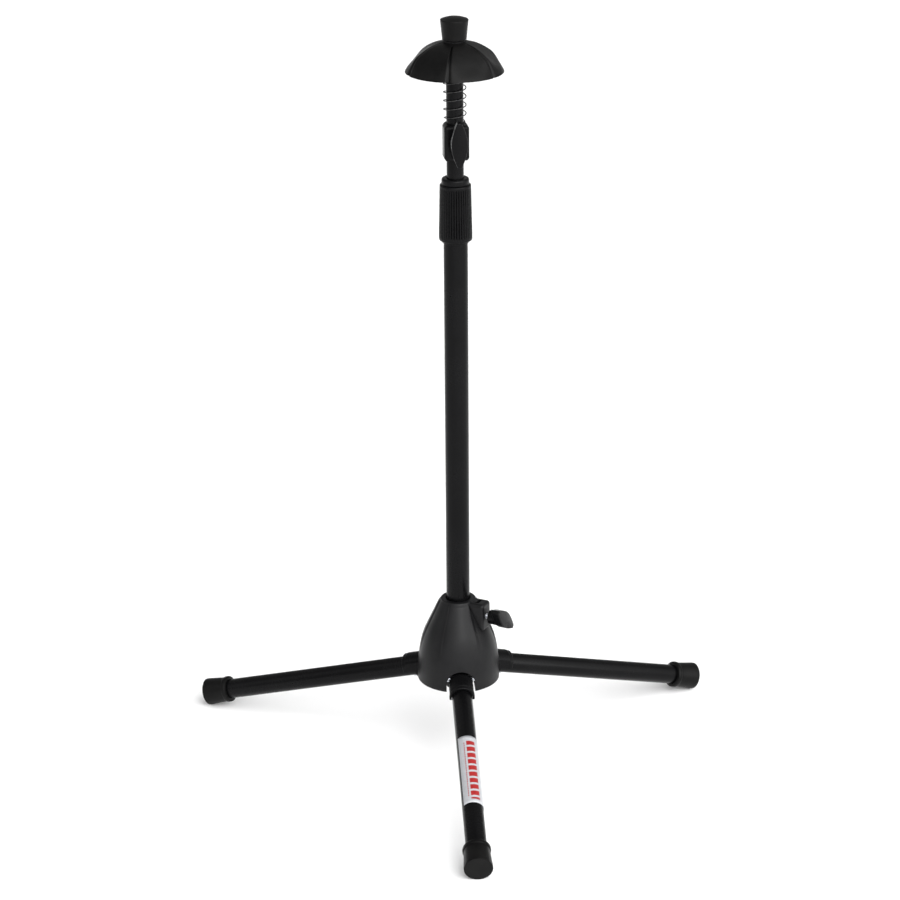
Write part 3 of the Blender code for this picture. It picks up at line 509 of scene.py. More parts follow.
hub_screw = threaded("hub_clamp_screw", HUB_BORE, HUB_KNOB_START + SCREW_GRIP, clamp_seat)
dress(hub_screw, "hub_clamp", "zinc_steel", "hub_screw")
hub_knob = wing_knob("hub_wing_knob", HUB_KNOB_START, HUB_KNOB_TWIST, clamp_seat)
dress(hub_knob, "hub_clamp", "moulded", "hub_knob")


# ---- Legs ----------------------------------------------------------------------------
# Each leg is a 19 mm steel tube in black powder coat. A moulded socket saddles its top
# end and hinges on a zinc pin in the hub. A rivet comes up through the tube from below,
# and a flared rubber cap is pushed over the lower end.

LEG_R = 0.0095
LEG_WALL = 0.0011
LEG_REACH = 0.25013
LEG_SIDES = 72
CAP_END_R = 0.01303
CAP_WAIST_R = 0.0120
CAP_LENGTH = 0.025
CAP_BASE = 0.0042
SOCKET_HALF_WIDTH = 0.0113
SOCKET_SEAT = 0.014
SOCKET_END = 0.0270
SOCKET_LIP = 0.0036
SOCKET_LIP_R = 0.01225
SOCKET_DEPTH = 0.0020
KNUCKLE_R = 0.0085
SOCKET_SHOULDER_ROUND = 0.0022
SOCKET_END_ROUND = 0.0009
LIP_BLEND = 0.0008
SADDLE_POWER = 26.0
KNUCKLE_HALF = 0.007
NECK_HALF = 0.0074
PIN_WAY_R = 0.0028
CAP_FLARE = 1.1
CAP_RIM = 0.0022
CAP_FLARE_LENGTH = 0.0165
CAP_BEAD_HALF = 0.0022
CAP_BEAD_RISE = 0.0008
CAP_SET = 0.0007          # how far a cap's disc is drawn up its leg
CAP_EDGE = 0.0004
CAP_DISH = 0.0004         # how far the rim of its disc stands out of the middle
TUBE_SHORT = 0.0052       # tube's lower end, short of the leg's end
RIVET_PLACE = 0.0205
RIVET_R = 0.0015
RIVET_HEAD_R = 0.0022
RIVET_HEAD = 0.0009

powder = grained(
    "powder_coat", (0.0016, 0.0016, 0.0018), (0.0030, 0.0030, 0.0033), 0.25,
    grain=900.0, depth=0.00004, specular=0.10, cloud=25.0)
rubber = grained(
    "black_rubber", (0.0020, 0.0020, 0.0020), (0.0044, 0.0043, 0.0042), 0.38,
    grain=1500.0, depth=0.00005, specular=0.10, cloud=70.0)


def leg_seat(number):
    """Seat on a leg's hinge pin: X along the pin, Y up, Z down along the tube."""
    hinge = joints[f"leg_{number}_fold"]
    pin = np.array(hinge["axis"], float)
    away = np.cross(pin, UP)
    along = math.cos(LEG_SLOPE) * away - math.sin(LEG_SLOPE) * UP
    rise = math.cos(LEG_SLOPE) * UP + math.sin(LEG_SLOPE) * away
    return seat(hinge["pos_m"], pin, rise, along)


def socket_section(angle, back, cheek):
    """Distance to a saddle's skin at each angle: a round back between two flat cheeks.

    It is the soft minimum of the back's radius and of cheek / |cos angle|, so the round
    top runs into the flat sides without an edge.
    """
    flat = cheek / np.maximum(np.abs(np.cos(angle)), 1e-3)
    return (back ** -SADDLE_POWER + flat ** -SADDLE_POWER) ** (-1 / SADDLE_POWER)


def build_socket(place):
    """Saddle: its section at each station along the leg, from shoulder to flared lip."""
    lip = SOCKET_END - SOCKET_LIP
    z = np.concatenate([
        SOCKET_START + SOCKET_SHOULDER_ROUND * (1 - np.cos(np.linspace(0, math.pi / 2, 8))),
        np.linspace(SOCKET_START + SOCKET_SHOULDER_ROUND + 0.0004, lip - LIP_BLEND - 0.0004, 16),
        lip + np.linspace(-LIP_BLEND, LIP_BLEND, 6),
        np.linspace(lip + LIP_BLEND + 0.0004, SOCKET_END - SOCKET_END_ROUND, 6),
        SOCKET_END - SOCKET_END_ROUND * (1 - np.sin(np.linspace(0.2, math.pi / 2, 6)))])
    into_lip = smooth_step((z - lip + LIP_BLEND) / (2 * LIP_BLEND))
    back = SOCKET_BACK_R + (SOCKET_LIP_R - SOCKET_BACK_R) * into_lip
    cheek = SOCKET_HALF_WIDTH + (SOCKET_LIP_R - SOCKET_HALF_WIDTH) * into_lip
    shoulder = np.clip((SOCKET_START + SOCKET_SHOULDER_ROUND - z) / SOCKET_SHOULDER_ROUND, 0, 1)
    lip_end = np.clip((z - SOCKET_END + SOCKET_END_ROUND) / SOCKET_END_ROUND, 0, 1)
    draw = SOCKET_SHOULDER_ROUND * (1 - np.sqrt(1 - shoulder ** 2))
    draw = draw + SOCKET_END_ROUND * (1 - np.sqrt(np.clip(1 - lip_end ** 2, 0, 1)))
    angle = np.arange(120) * 2 * math.pi / 120
    radius = socket_section(angle[None], back[:, None], cheek[:, None]) - draw[:, None]
    rows = np.stack([radius * np.cos(angle), radius * np.sin(angle), z[:, None] + 0 * angle], -1)
    rows[..., 1] = np.maximum(rows[..., 1], -LEG_R)
    first, last = rows[:1].copy(), rows[-1:].copy()
    first[..., :2] = 0
    last[..., :2] = 0
    shell = skin("leg_socket", settle(np.concatenate([first, rows, last]), place), acetal)
    crosswise = (place[0], np.array([place[1][1], place[1][2], place[1][0]]))
    wide = KNUCKLE_HALF
    knuckle = fillet([(0, -wide), (KNUCKLE_R, -wide), (KNUCKLE_R, wide), (0, wide)], 0.0007)
    carve(shell, lathe("knuckle", knuckle, crosswise, None, sides=64), "UNION")
    neck = [(-wide, -NECK_HALF), (wide, -NECK_HALF), (wide, NECK_HALF), (-wide, NECK_HALF)]
    carve(shell, stack("neck", neck, [(0.001, 0), (SOCKET_START + 0.003, 0)], place, None), "UNION")
    bore_r = LEG_R + FIT
    bore = [(0, SOCKET_SEAT), (bore_r, SOCKET_SEAT), (bore_r, SOCKET_END * 2), (0, SOCKET_END * 2)]
    carve(shell, lathe("bore", bore, place, None, sides=96))
    far = 2 * SOCKET_BACK_R
    under = [(-far, -far), (far, -far), (far, -SOCKET_DEPTH), (-far, -SOCKET_DEPTH)]
    carve(shell, stack("under", under, [(SOCKET_SEAT + FIT, 0), (2 * SOCKET_END, 0)], place, None))
    pin_way = [(0, -far), (PIN_WAY_R, -far), (PIN_WAY_R, far), (0, far)]
    carve(shell, lathe("pin_way", pin_way, crosswise, None, sides=40))
    weld(shell.data, 38)
    return shell


def cap_profile():
    """Half section of a cap from its end disc to its mouth, and back up its bore.

    The flare's radius is waist + (end - waist)(1 - t)^power. The bead at the mouth swells
    by sin(a)^0.6 over half a turn.
    """
    end, mouth = LEG_REACH, LEG_REACH - CAP_LENGTH
    t = np.linspace(0, 1, 14)[:, None]
    flare = np.hstack([
        CAP_WAIST_R + (CAP_END_R - CAP_WAIST_R) * (1 - t) ** CAP_FLARE, end - CAP_RIM - CAP_FLARE_LENGTH * t])
    disc = fillet([(0, end), (CAP_END_R, end), (CAP_END_R, end - CAP_RIM)], CAP_EDGE)[:-1]
    turn = np.linspace(0, math.pi, 11)[:, None]
    bead = np.hstack([
        CAP_WAIST_R + CAP_BEAD_RISE * np.sin(turn) ** 0.6,
        mouth + CAP_BEAD_HALF + FIT + CAP_BEAD_HALF * np.cos(turn)])
    waist = [[CAP_WAIST_R, mouth + 2 * CAP_BEAD_HALF + CAP_BEAD_RISE]]
    bore = LEG_R + 0.0002
    return np.vstack([
        disc, flare, waist, bead, [[CAP_WAIST_R - CAP_EDGE, mouth], [bore, mouth]],
        [[bore, end - CAP_BASE], [0, end - CAP_BASE]]])


def build_cap(number, place):
    """Cap turned round the leg, then pressed flat on the floor where it stands on it."""
    profile = cap_profile()
    angle = np.arange(LEG_SIDES) * 2 * math.pi / LEG_SIDES
    radius, height = profile[:, :1], profile[:, 1:]
    dish = CAP_DISH * smooth_step((radius / CAP_END_R - 0.55) / 0.2) * (height > LEG_REACH - 0.0002)
    rows = np.stack([radius * np.cos(angle), radius * np.sin(angle), height + dish - CAP_SET + 0 * angle], -1)
    points = settle(rows, place)
    points[..., 2] = np.maximum(points[..., 2], 0.0)
    return skin(f"leg_{number}_cap", points, rubber)


# One socket is made in a level seat, and a copy of it is moved into each leg's.
pattern = build_socket(seat((0, 0, 0), (1, 0, 0), (0, 1, 0), (0, 0, 1)))
for number in (1, 2, 3):
    place = leg_seat(number)
    body = f"leg_{number}"
    socket = bpy.data.objects.new(f"leg_{number}_socket", pattern.data.copy())
    turned = Matrix(place[1].T.tolist()).to_4x4()
    socket.data.transform(Matrix.Translation(place[0].tolist()) @ turned)
    bpy.context.scene.collection.objects.link(socket)
    finish = socket.modifiers.new("Normals", "WEIGHTED_NORMAL")
    finish.keep_sharp = True
    dress(socket, body, "moulded", f"leg_socket_{number}")
    end, start, bore = LEG_REACH - TUBE_SHORT, SOCKET_SEAT + FIT, LEG_R - LEG_WALL
    profile = fillet([(bore, start), (LEG_R, start), (LEG_R, end), (bore, end)], 0.0002, steps=4, closed=True)
    tube = lathe(f"leg_{number}_tube", profile, place, powder, LEG_SIDES, ring=True)
    dress(tube, body, "powder_coat", f"leg_tube_{number}")
    facing_down = seat(place[0] + RIVET_PLACE * place[1][2], place[1][0], place[1][2], -place[1][1])
    t = np.linspace(0, math.pi / 2, 8)[:, None]
    seated = LEG_R + FIT
    dome = np.hstack([RIVET_HEAD_R * np.sin(t), seated + 0.0001 + RIVET_HEAD * np.cos(t)])
    rivet = np.vstack([dome, [[RIVET_HEAD_R, seated], [RIVET_R, seated], [RIVET_R, 0], [0, 0]]])
    rivet = lathe(f"leg_{number}_rivet", rivet, facing_down, zinc, 32)
    dress(rivet, body, "zinc_steel", f"leg_rivet_{number}")
    dress(build_cap(number, place), body, "rubber", f"leg_cap_{number}")
bpy.data.objects.remove(pattern, do_unlink=True)


# ---- Label on the front leg ----------------------------------------------------------
# A white vinyl sticker wrapped round the upper side of the front leg's tube, printed in red: a row of
# slanted bars with a line of fine dashes beside it, under a clear gloss. Its white is painted as a mid
# grey, which is painted shade.

LABEL_START = 0.089
LABEL_LENGTH = 0.087
LABEL_REACH = math.radians(82)
LABEL_TURN = math.radians(-28)
LABEL_R = LEG_R + 0.0003
LABEL_THICK = 0.0002

vinyl, vinyl_shader, node, join = finish_kit("printed_vinyl")
vinyl_shader.inputs["Coat Weight"].default_value = 0.3
vinyl_shader.inputs["Coat Roughness"].default_value = 0.12
paper = node("UVMap", uv_map="Print")
apart = join(paper, "UV", node("SeparateXYZ"), 0)


def within(value, output, low, high):
    """1 where a value lies between two limits: two comparisons multiplied."""
    above = join(value, output, node("Math", {1: low}, operation="GREATER_THAN"), 0)
    under = join(value, output, node("Math", {1: high}, operation="LESS_THAN"), 0)
    both = node("Math", operation="MULTIPLY")
    join(above, 0, both, 0)
    return join(under, 0, both, 1)


def both_of(first, second, operation="MULTIPLY"):
    made = node("Math", operation=operation)
    join(first, 0, made, 0)
    return join(second, 0, made, 1)


def dashes(step, share, slant):
    """1 on a repeated dash: the fraction of v / step + slant * u is under its share."""
    lean = join(apart, "X", node("Math", {1: slant}, operation="MULTIPLY"), 0)
    pace = join(apart, "Y", node("Math", {1: 1 / step}, operation="MULTIPLY"), 0)
    run = both_of(lean, pace, "ADD")
    part = join(run, 0, node("Math", operation="FRACT"), 0)
    return join(part, 0, node("Math", {1: share}, operation="LESS_THAN"), 0)


bars = both_of(
    both_of(within(apart, "X", 0.29, 0.58), within(apart, "Y", 0.08, 0.95)), dashes(0.0944, 0.70, 0.55))
fine_line = both_of(
    both_of(within(apart, "X", 0.20, 0.23), within(apart, "Y", 0.10, 0.92)), dashes(0.034, 0.62, 0.0))
mark = both_of(bars, both_of(fine_line, fine_line, "MAXIMUM"), "MAXIMUM")
where = node("TexCoord")
fibre = node("TexNoise", {"Scale": 420.0, "Detail": 4.0})
join(where, "Object", fibre, "Vector")
# The sticker's white ground is painted as a mid grey: painted shade, as on a label lying in shadow.
white_with_painted_shade = node("Mix", data_type="RGBA")
white_with_painted_shade.inputs[6].default_value = (0.33, 0.34, 0.36, 1)
white_with_painted_shade.inputs[7].default_value = (0.41, 0.415, 0.43, 1)
join(shade_range(node, join, fibre, "Fac", 0.0, 1.0), "Result", white_with_painted_shade, 0)
ink = node("Mix", data_type="RGBA")
ink.inputs[6].default_value = (0.24, 0.006, 0.007, 1)
ink.inputs[7].default_value = (0.32, 0.012, 0.012, 1)
join(shade_range(node, join, fibre, "Fac", 0.0, 1.0), "Result", ink, 0)
print_mix = node("Mix", data_type="RGBA")
join(mark, 0, print_mix, 0)
join(white_with_painted_shade, 2, print_mix, 6)
join(ink, 2, print_mix, 7)
join(print_mix, 2, vinyl_shader, "Base Color")
join(shade_range(node, join, fibre, "Fac", 0.28, 0.36), "Result", vinyl_shader, "Roughness")
bump = node("Bump", {"Strength": 0.15, "Distance": 0.00004})
join(fibre, "Fac", bump, "Height")
join(bump, "Normal", vinyl_shader, "Normal")

# The sheet's outline runs out along its face and back along its glued side.
across = np.linspace(0, 1, 61)
bow = math.pi / 2 + LABEL_TURN + LABEL_REACH * (1 - 2 * across)
face = np.stack([np.cos(bow), np.sin(bow)], 1)
outline = np.vstack([face * (LABEL_R + LABEL_THICK), face[::-1] * LABEL_R])
share = np.concatenate([across, across[::-1]])
along = np.linspace(0, 1, 31)
rows = np.concatenate([
    np.broadcast_to(outline[None], (31,) + outline.shape),
    np.broadcast_to((LABEL_START + LABEL_LENGTH * along)[:, None, None], (31, len(outline), 1))], -1)
label = skin("leg_label_sticker", settle(rows, leg_seat(1)), vinyl, sharp=60)
layer = label.data.uv_layers.new(name="Print")
count = len(label.data.vertices)
place = leg_seat(1)
points = np.empty(count * 3)
label.data.vertices.foreach_get("co", points)
local = (points.reshape(-1, 3) - place[0]) @ place[1].T
u = 0.5 - (np.arctan2(local[:, 1], local[:, 0]) - math.pi / 2 - LABEL_TURN) / (2 * LABEL_REACH)
v = (local[:, 2] - LABEL_START) / LABEL_LENGTH
corner = np.empty(len(label.data.loops), np.int32)
label.data.loops.foreach_get("vertex_index", corner)
layer.data.foreach_set("uv", np.stack([u, v], 1)[corner].astype(np.float32).ravel())
work = bmesh.new()
work.from_mesh(label.data)
bmesh.ops.holes_fill(work, edges=[edge for edge in work.edges if edge.is_boundary])
bmesh.ops.recalc_face_normals(work, faces=work.faces)
work.to_mesh(label.data)
work.free()
dress(label, "leg_1", "printed_label", "leg_label")


# ---- Pole ----------------------------------------------------------------------------
# A 22 mm steel tube in the legs' black powder coat slides in the hub. A moulded plug
# closes its foot, and the plug's flange stops it from being drawn out.

POLE_R = 0.011
POLE_BORE = 0.0098
POLE_FLANGE_R = 0.0132

pole_z = (pole_low.z, pole_high.z)
profile = fillet(
    [(POLE_BORE, pole_z[0]), (POLE_R, pole_z[0]), (POLE_R, pole_z[1]), (POLE_BORE, pole_z[1])],
    0.0002, steps=4, closed=True)
dress(lathe("pole", profile, upright, powder, 112, ring=True), "pole", "powder_coat", "pole_tube")
foot_low, foot_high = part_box("pole_foot")
flange = pole_z[0] - FIT
foot = fillet([
    (0, foot_low.z), (POLE_FLANGE_R, foot_low.z), (POLE_FLANGE_R, flange), (POLE_BORE - FIT, flange),
    (POLE_BORE - FIT, foot_high.z), (0, foot_high.z)], [0, 0.0013, 0.0004, 0.0002, 0.0006, 0])
dress(lathe("pole_foot_plug", foot, upright, nylon, 72), "pole", "moulded", "pole_foot")


# ---- Clutch --------------------------------------------------------------------------
# A threaded base is fixed on the pole's top. The ribbed grip screws down on it and
# squeezes a split collet on the mast. All three are moulded in glossy black acetal.

GRIP_RIBS = 40
GRIP_RIB_DEPTH = 0.00080
GRIP_TOP_R = 0.0142
GRIP_FOOT_R = 0.0151
GRIP_THREAD_R = 0.0128
GRIP_BORE_R = 0.0102
BASE_THREAD_R = 0.0125
BASE_RING_R = 0.0121
COLLET_LIP_R = 0.0125
COLLET_R = 0.0099
MAST_GAP_R = 0.0080

grip_low, grip_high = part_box("clutch_grip")
base_low, base_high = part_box("clutch_base")
collet_low, collet_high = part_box("clutch_collet")
over_pole = POLE_R + FIT
profile = fillet([
    (over_pole, base_low.z), (BASE_RING_R, base_low.z), (BASE_RING_R, grip_low.z + FIT),
    (BASE_THREAD_R, grip_low.z + FIT), (BASE_THREAD_R, base_high.z), (MAST_GAP_R, base_high.z),
    (MAST_GAP_R, pole_z[1] + FIT), (over_pole, pole_z[1] + FIT)],
    [0.0001, 0.0003, 0.0001, 0.0001, 0.0003, 0.0002, 0.0001, 0.0001], 4, closed=True)
dress(lathe("clutch_base_ring", profile, upright, acetal, ring=True), "pole", "moulded", "clutch_base")

shape = fillet([
    (GRIP_BORE_R, grip_high.z), (GRIP_TOP_R, grip_high.z), (GRIP_TOP_R, grip_high.z - 0.0035),
    (GRIP_FOOT_R, grip_low.z + 0.0060), (GRIP_FOOT_R, grip_low.z), (GRIP_THREAD_R, grip_low.z),
    (GRIP_THREAD_R, base_high.z + FIT), (GRIP_BORE_R, base_high.z + FIT)],
    [0.0003, 0.0019, 0.0006, 0.002, 0.0015, 0.0002, 0.0001, 0.0001], 9, closed=True)
# The long sides get more stations, so that the ribs can fade in and out along them.
rises = []
for start, end in zip(shape, np.roll(shape, -1, 0)):
    steps = max(1, int(abs(end[1] - start[1]) / 0.0012))
    rises.append(start + (end - start) * (np.arange(steps) / steps)[:, None])
shape = np.vstack(rises)
angle = np.arange(GRIP_RIBS * 12) * 2 * math.pi / (GRIP_RIBS * 12)
up_share = (shape[:, 1] - grip_low.z) / (grip_high.z - grip_low.z)
ribbed = (
    smooth_step((up_share - 0.045) / 0.03) * smooth_step((0.955 - up_share) / 0.03)
    * (shape[:, 0] > GRIP_TOP_R - 0.0008))
valley = np.clip((np.abs((angle * GRIP_RIBS / (2 * math.pi)) % 1 - 0.5) - 0.20) / 0.30, 0, 1)
radius = shape[:, :1] - GRIP_RIB_DEPTH * ribbed[:, None] * smooth_step(valley)[None]
rows = np.stack([radius * np.cos(angle), radius * np.sin(angle), shape[:, 1:] + 0 * angle], -1)
grip = skin("clutch_ribbed_grip", settle(rows, upright), acetal, ring=True, sharp=50)
dress(grip, "clutch_nut", "moulded", "clutch_grip")

lip = grip_high.z + FIT
collet = fillet([
    (MAST_GAP_R, collet_high.z), (COLLET_LIP_R, collet_high.z), (COLLET_LIP_R, lip), (COLLET_R, lip),
    (COLLET_R, collet_low.z), (MAST_GAP_R, collet_low.z)],
    [0.0007, 0.0028, 0.0003, 0.0002, 0.0002, 0.0002], 9, closed=True)
dress(lathe("clutch_split_collet", collet, upright, acetal, ring=True), "pole", "moulded", "clutch_collet")


# ---- Mast ----------------------------------------------------------------------------
# A 15.4 mm steel tube in black powder coat slides in the pole, and a moulded plug at its
# foot guides it there.

MAST_R = 0.0077
MAST_BORE = 0.0066

mast_low, mast_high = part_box("mast_tube")
profile = fillet(
    [(MAST_BORE, mast_low.z), (MAST_R, mast_low.z), (MAST_R, mast_high.z), (MAST_BORE, mast_high.z)],
    0.0002, steps=4, closed=True)
dress(lathe("mast", profile, upright, powder, ring=True), "mast", "powder_coat", "mast_tube")
frame["nodes"]["mast_foot"].material_slots[0].material = acetal


# ---- Collar and its clamp ------------------------------------------------------------
# A moulded collar, round at the back and square at the front, clamps on the mast with a
# wing knob like the hub's. The spring stands on its chamfered top.

COLLAR_R = 0.0113
COLLAR_REACH = 0.0138
COLLAR_CORNER = 0.0030
COLLAR_CHAMFER = 0.0020
COLLAR_TURN = math.radians(4)
COLLAR_CLAMP_DROP = 0.0129
COLLAR_NUT_PLACE = 0.0093
COLLAR_KNOB_START = 0.0158

collar_low, collar_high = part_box("collar_body")
back = np.linspace(0, math.pi, 41)
front = fillet(
    [(-COLLAR_R, 0), (-COLLAR_R, -COLLAR_REACH), (COLLAR_R, -COLLAR_REACH), (COLLAR_R, 0)],
    COLLAR_CORNER, steps=9)
outline = np.vstack([np.stack([COLLAR_R * np.cos(back), COLLAR_R * np.sin(back)], 1), front[1:-1]])
# The chamfer's two corners are softened: each row is a height and how far it is drawn in.
rim = np.array([
    (0, COLLAR_CHAMFER), (0.0003, COLLAR_CHAMFER - 0.0006), (COLLAR_CHAMFER, 0.00025),
    (COLLAR_CHAMFER + 0.0006, 0)])
levels = np.vstack([
    np.stack([collar_low.z + rim[:, 0], rim[:, 1]], 1),
    np.stack([collar_high.z - rim[::-1, 0], rim[::-1, 1]], 1)])
collar = stack("collar_moulding", outline, levels, twisted(upright, COLLAR_TURN), acetal)
under, over = collar_low.z - 0.01, collar_high.z + 0.01
around_mast = [(0, under), (MAST_GAP_R, under), (MAST_GAP_R, over), (0, over)]
carve(collar, lathe("around_mast", around_mast, upright, None))
collar_clamp_seat = outward(COLLAR_TURN, collar_high.z - COLLAR_CLAMP_DROP)
screw_way = [(0, 0.004), (SCREW_HOLE_R, 0.004), (SCREW_HOLE_R, 0.02), (0, 0.02)]
carve(collar, lathe("screw_way", screw_way, collar_clamp_seat, None, sides=40))
half = NUT_POCKET_HALF
pocket = [(-half, -0.05), (half, -0.05), (half, half), (-half, half)]
nut_room = [(COLLAR_NUT_PLACE, 0), (COLLAR_NUT_PLACE + NUT_POCKET_DEPTH, 0)]
carve(collar, stack("pocket", pocket, nut_room, collar_clamp_seat, None))
dress(even_light(collar), "collar", "moulded", "collar_body")
frame["nodes"]["collar_nut"].material_slots[0].material = zinc
collar_screw = threaded("collar_clamp_screw", MAST_GAP_R, COLLAR_KNOB_START + SCREW_GRIP, collar_clamp_seat)
dress(collar_screw, "collar_clamp", "zinc_steel", "collar_screw")
collar_knob = wing_knob("collar_wing_knob", COLLAR_KNOB_START, math.pi / 2, collar_clamp_seat)
dress(collar_knob, "collar_clamp", "moulded", "collar_knob")


# ---- Spring --------------------------------------------------------------------------
# A coil of oiled dark spring wire, 1 mm thick, pushes the cushion up against the plug.
# Its lowest turn narrows to sit on the collar's flat top.

WIRE_R = 0.0005
SPRING_R = 0.0100
SPRING_FOOT_R = 0.0089
SPRING_TURNS = 8
WIRE_SIDES = 12

spring_steel, wire_shader, node, join = finish_kit("oiled_spring_wire")
wire_shader.inputs["Metallic"].default_value = 1.0
where = node("TexCoord")
oil = node("TexNoise", {"Scale": 260.0, "Detail": 4.0})
join(where, "Object", oil, "Vector")
tone = node("Mix", data_type="RGBA")
tone.inputs[6].default_value = (0.030, 0.030, 0.033, 1)
tone.inputs[7].default_value = (0.085, 0.083, 0.081, 1)
join(shade_range(node, join, oil, "Fac", 0.0, 1.0), "Result", tone, 0)
join(tone, 2, wire_shader, "Base Color")
join(shade_range(node, join, oil, "Fac", 0.26, 0.42), "Result", wire_shader, "Roughness")

spring_low, spring_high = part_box("bell_spring")
turns = np.linspace(0, SPRING_TURNS, SPRING_TURNS * 56 + 1)
coil_r = SPRING_R - (SPRING_R - SPRING_FOOT_R) * np.clip(1 - turns, 0, 1)
coil_z = spring_low.z + WIRE_R + (spring_high.z - spring_low.z - 2 * WIRE_R) * turns / SPRING_TURNS
swing = 2 * math.pi * turns
path = np.stack([coil_r * np.cos(swing), coil_r * np.sin(swing), coil_z], 1)
heading = np.gradient(path, axis=0)
heading /= np.linalg.norm(heading, axis=1)[:, None]
away = np.stack([np.cos(swing), np.sin(swing), 0 * swing], 1)
rise = np.cross(heading, away)
rise /= np.linalg.norm(rise, axis=1)[:, None]
away = np.cross(rise, heading)
turn = (np.arange(WIRE_SIDES) * 2 * math.pi / WIRE_SIDES)[None, :, None]
# A small circle carried along the coil: path + r (cos a * away + sin a * rise).
wire = path[:, None] + WIRE_R * (np.cos(turn) * away[:, None] + np.sin(turn) * rise[:, None])
first, last = [np.broadcast_to(path[k], (1, WIRE_SIDES, 3)) for k in (0, -1)]
wire = settle(np.concatenate([first, wire, last]), upright)
spring = skin("bell_coil_spring", wire, spring_steel, sharp=60)
dress(spring, "collar", "spring_steel", "bell_spring")
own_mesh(spring)


# ---- Cushion -------------------------------------------------------------------------
# A six-lobed rubber dome fills the bell's mouth. Its lobes are pillowed between narrow
# creases, and it is vulcanised round a hard moulded core that slides on the mast.

CUSHION_R = 0.0440
CUSHION_WALL = 0.0030
LOBES = 6
CUSHION_TURN = math.radians(-11)
CREASE_DEPTH = 0.0027
CREASE_HALF = math.radians(1.9)
CREASE_PULL = 0.0009         # how far a crease draws the rim in
LOBE_FLATNESS = 1.15
CUSHION_BORE = 0.0100
CUSHION_MOUTH_R = CUSHION_BORE + 0.0008

cushion_low, cushion_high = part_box("bell_cushion")
rise_of = cushion_high.z - cushion_low.z
ball_r = (CUSHION_R ** 2 + rise_of ** 2) / (2 * rise_of)
ball_drop = ball_r - rise_of


def dome(radius, inset=0.0):
    """Height over the rim of a ball's cap: sqrt(ball^2 - radius^2) less the ball's centre."""
    return np.sqrt(np.clip((ball_r - inset) ** 2 - radius ** 2, 0, None)) - ball_drop


angle = np.arange(LOBES * 72) * 2 * math.pi / (LOBES * 72)
lobe = 2 * math.pi / LOBES
off = np.abs((angle - CUSHION_TURN + math.pi / 2 + lobe / 2) % lobe - lobe / 2)
crease = np.exp(-(off / CREASE_HALF) ** 2)
# Between two creases a lobe is nearly flat: its level lines are those of a hexagon with
# softened corners, radius * cos(angle from the lobe's middle) / mean of that cosine.
flatness = np.cos(lobe / 2 - off)
flatness = flatness / flatness.mean() - 1
share = np.sin(np.linspace(math.asin(CUSHION_MOUTH_R / CUSHION_R), math.pi / 2, 60))[:, None]
facet = smooth_step((share - 0.22) / 0.25) * smooth_step((1.0 - share) / 0.22)
line = smooth_step((share - 0.24) / 0.15)
outer_z = dome(CUSHION_R * share * (1 + LOBE_FLATNESS * flatness[None] * facet))
outer_z = np.maximum(outer_z - CREASE_DEPTH * crease[None] * line, 0)
outer_r = CUSHION_R * share - CREASE_PULL * crease[None] * smooth_step((share - 0.85) / 0.15)
lip_turn = np.linspace(0.25, math.pi - 0.25, 7)[:, None]
half_wall = CUSHION_WALL / 2
lip_r = CUSHION_R - half_wall + half_wall * np.cos(lip_turn) - CREASE_PULL * crease[None]
lip_z = 0.0002 * (1 - np.sin(lip_turn)) + 0 * angle
under_r = np.linspace(CUSHION_R - CUSHION_WALL, CUSHION_BORE + 0.002, 24)[:, None] - 0.0005 * crease[None]
under_z = dome(under_r, CUSHION_WALL)
bore_z = np.array([[under_z[-1, 0]], [dome(CUSHION_MOUTH_R)]]) + 0 * angle
radius = np.concatenate([outer_r, lip_r, under_r, np.full_like(bore_z, CUSHION_BORE)])
height = np.concatenate([outer_z, lip_z, np.maximum(under_z, FIT), bore_z]) + cushion_low.z
height = np.minimum(height, cushion_high.z)
rows = np.stack([radius * np.cos(angle), radius * np.sin(angle), height], -1)
cushion = skin("bell_lobed_cushion", settle(rows, upright), rubber, ring=True, sharp=50)
dress(cushion, "cushion", "rubber", "bell_cushion")
frame["nodes"]["cushion_core"].material_slots[0].material = nylon


# ---- Plug on the mast's end ----------------------------------------------------------
# A flared rubber plug is pushed over the mast's end and holds the cushion down. Its top
# is gently domed, with a soft edge.

plug_low, plug_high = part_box("top_plug")
PLUG_FOOT_R = 0.0109
PLUG_HEAD_R = 0.0126
PLUG_CROWN = 0.0024
PLUG_BRIM = 0.0008
PLUG_FLARE = 1.1
PLUG_EDGE = 0.0006

t = np.linspace(0, 1, 16)[:, None]
crown_r = (PLUG_HEAD_R - PLUG_BRIM) * t
crown = np.hstack([crown_r, plug_high.z - PLUG_CROWN * t ** 2])
brim_turn = np.linspace(0.35, math.pi / 2, 6)[:, None]
brim = np.hstack([
    PLUG_HEAD_R - PLUG_BRIM + PLUG_BRIM * np.sin(brim_turn),
    plug_high.z - PLUG_CROWN - PLUG_BRIM + PLUG_BRIM * np.cos(brim_turn)])
flank_top = plug_high.z - PLUG_CROWN - 0.0010
flank = np.hstack([
    PLUG_FOOT_R + (PLUG_HEAD_R - PLUG_FOOT_R) * (1 - t[1:]) ** PLUG_FLARE,
    flank_top - (flank_top - plug_low.z - PLUG_EDGE) * t[1:]])
inner = mast_high.z + FIT
mouth = [[PLUG_FOOT_R - PLUG_EDGE, plug_low.z], [MAST_GAP_R, plug_low.z], [MAST_GAP_R, inner], [0, inner]]
profile = np.vstack([crown, brim, flank, mouth])
dress(lathe("mast_end_plug", profile, upright, rubber), "mast", "rubber", "top_plug")


# ---- Studio --------------------------------------------------------------------------
# A plain white floor under even soft light: a pale surround that is brightest from the
# front right, with two tall side panels and a broad one high in front.

FLOOR_HALF = 40.0
FLOOR_DROP = 0.0002
GLOW_FROM = (0.40, -0.80, 0.45)

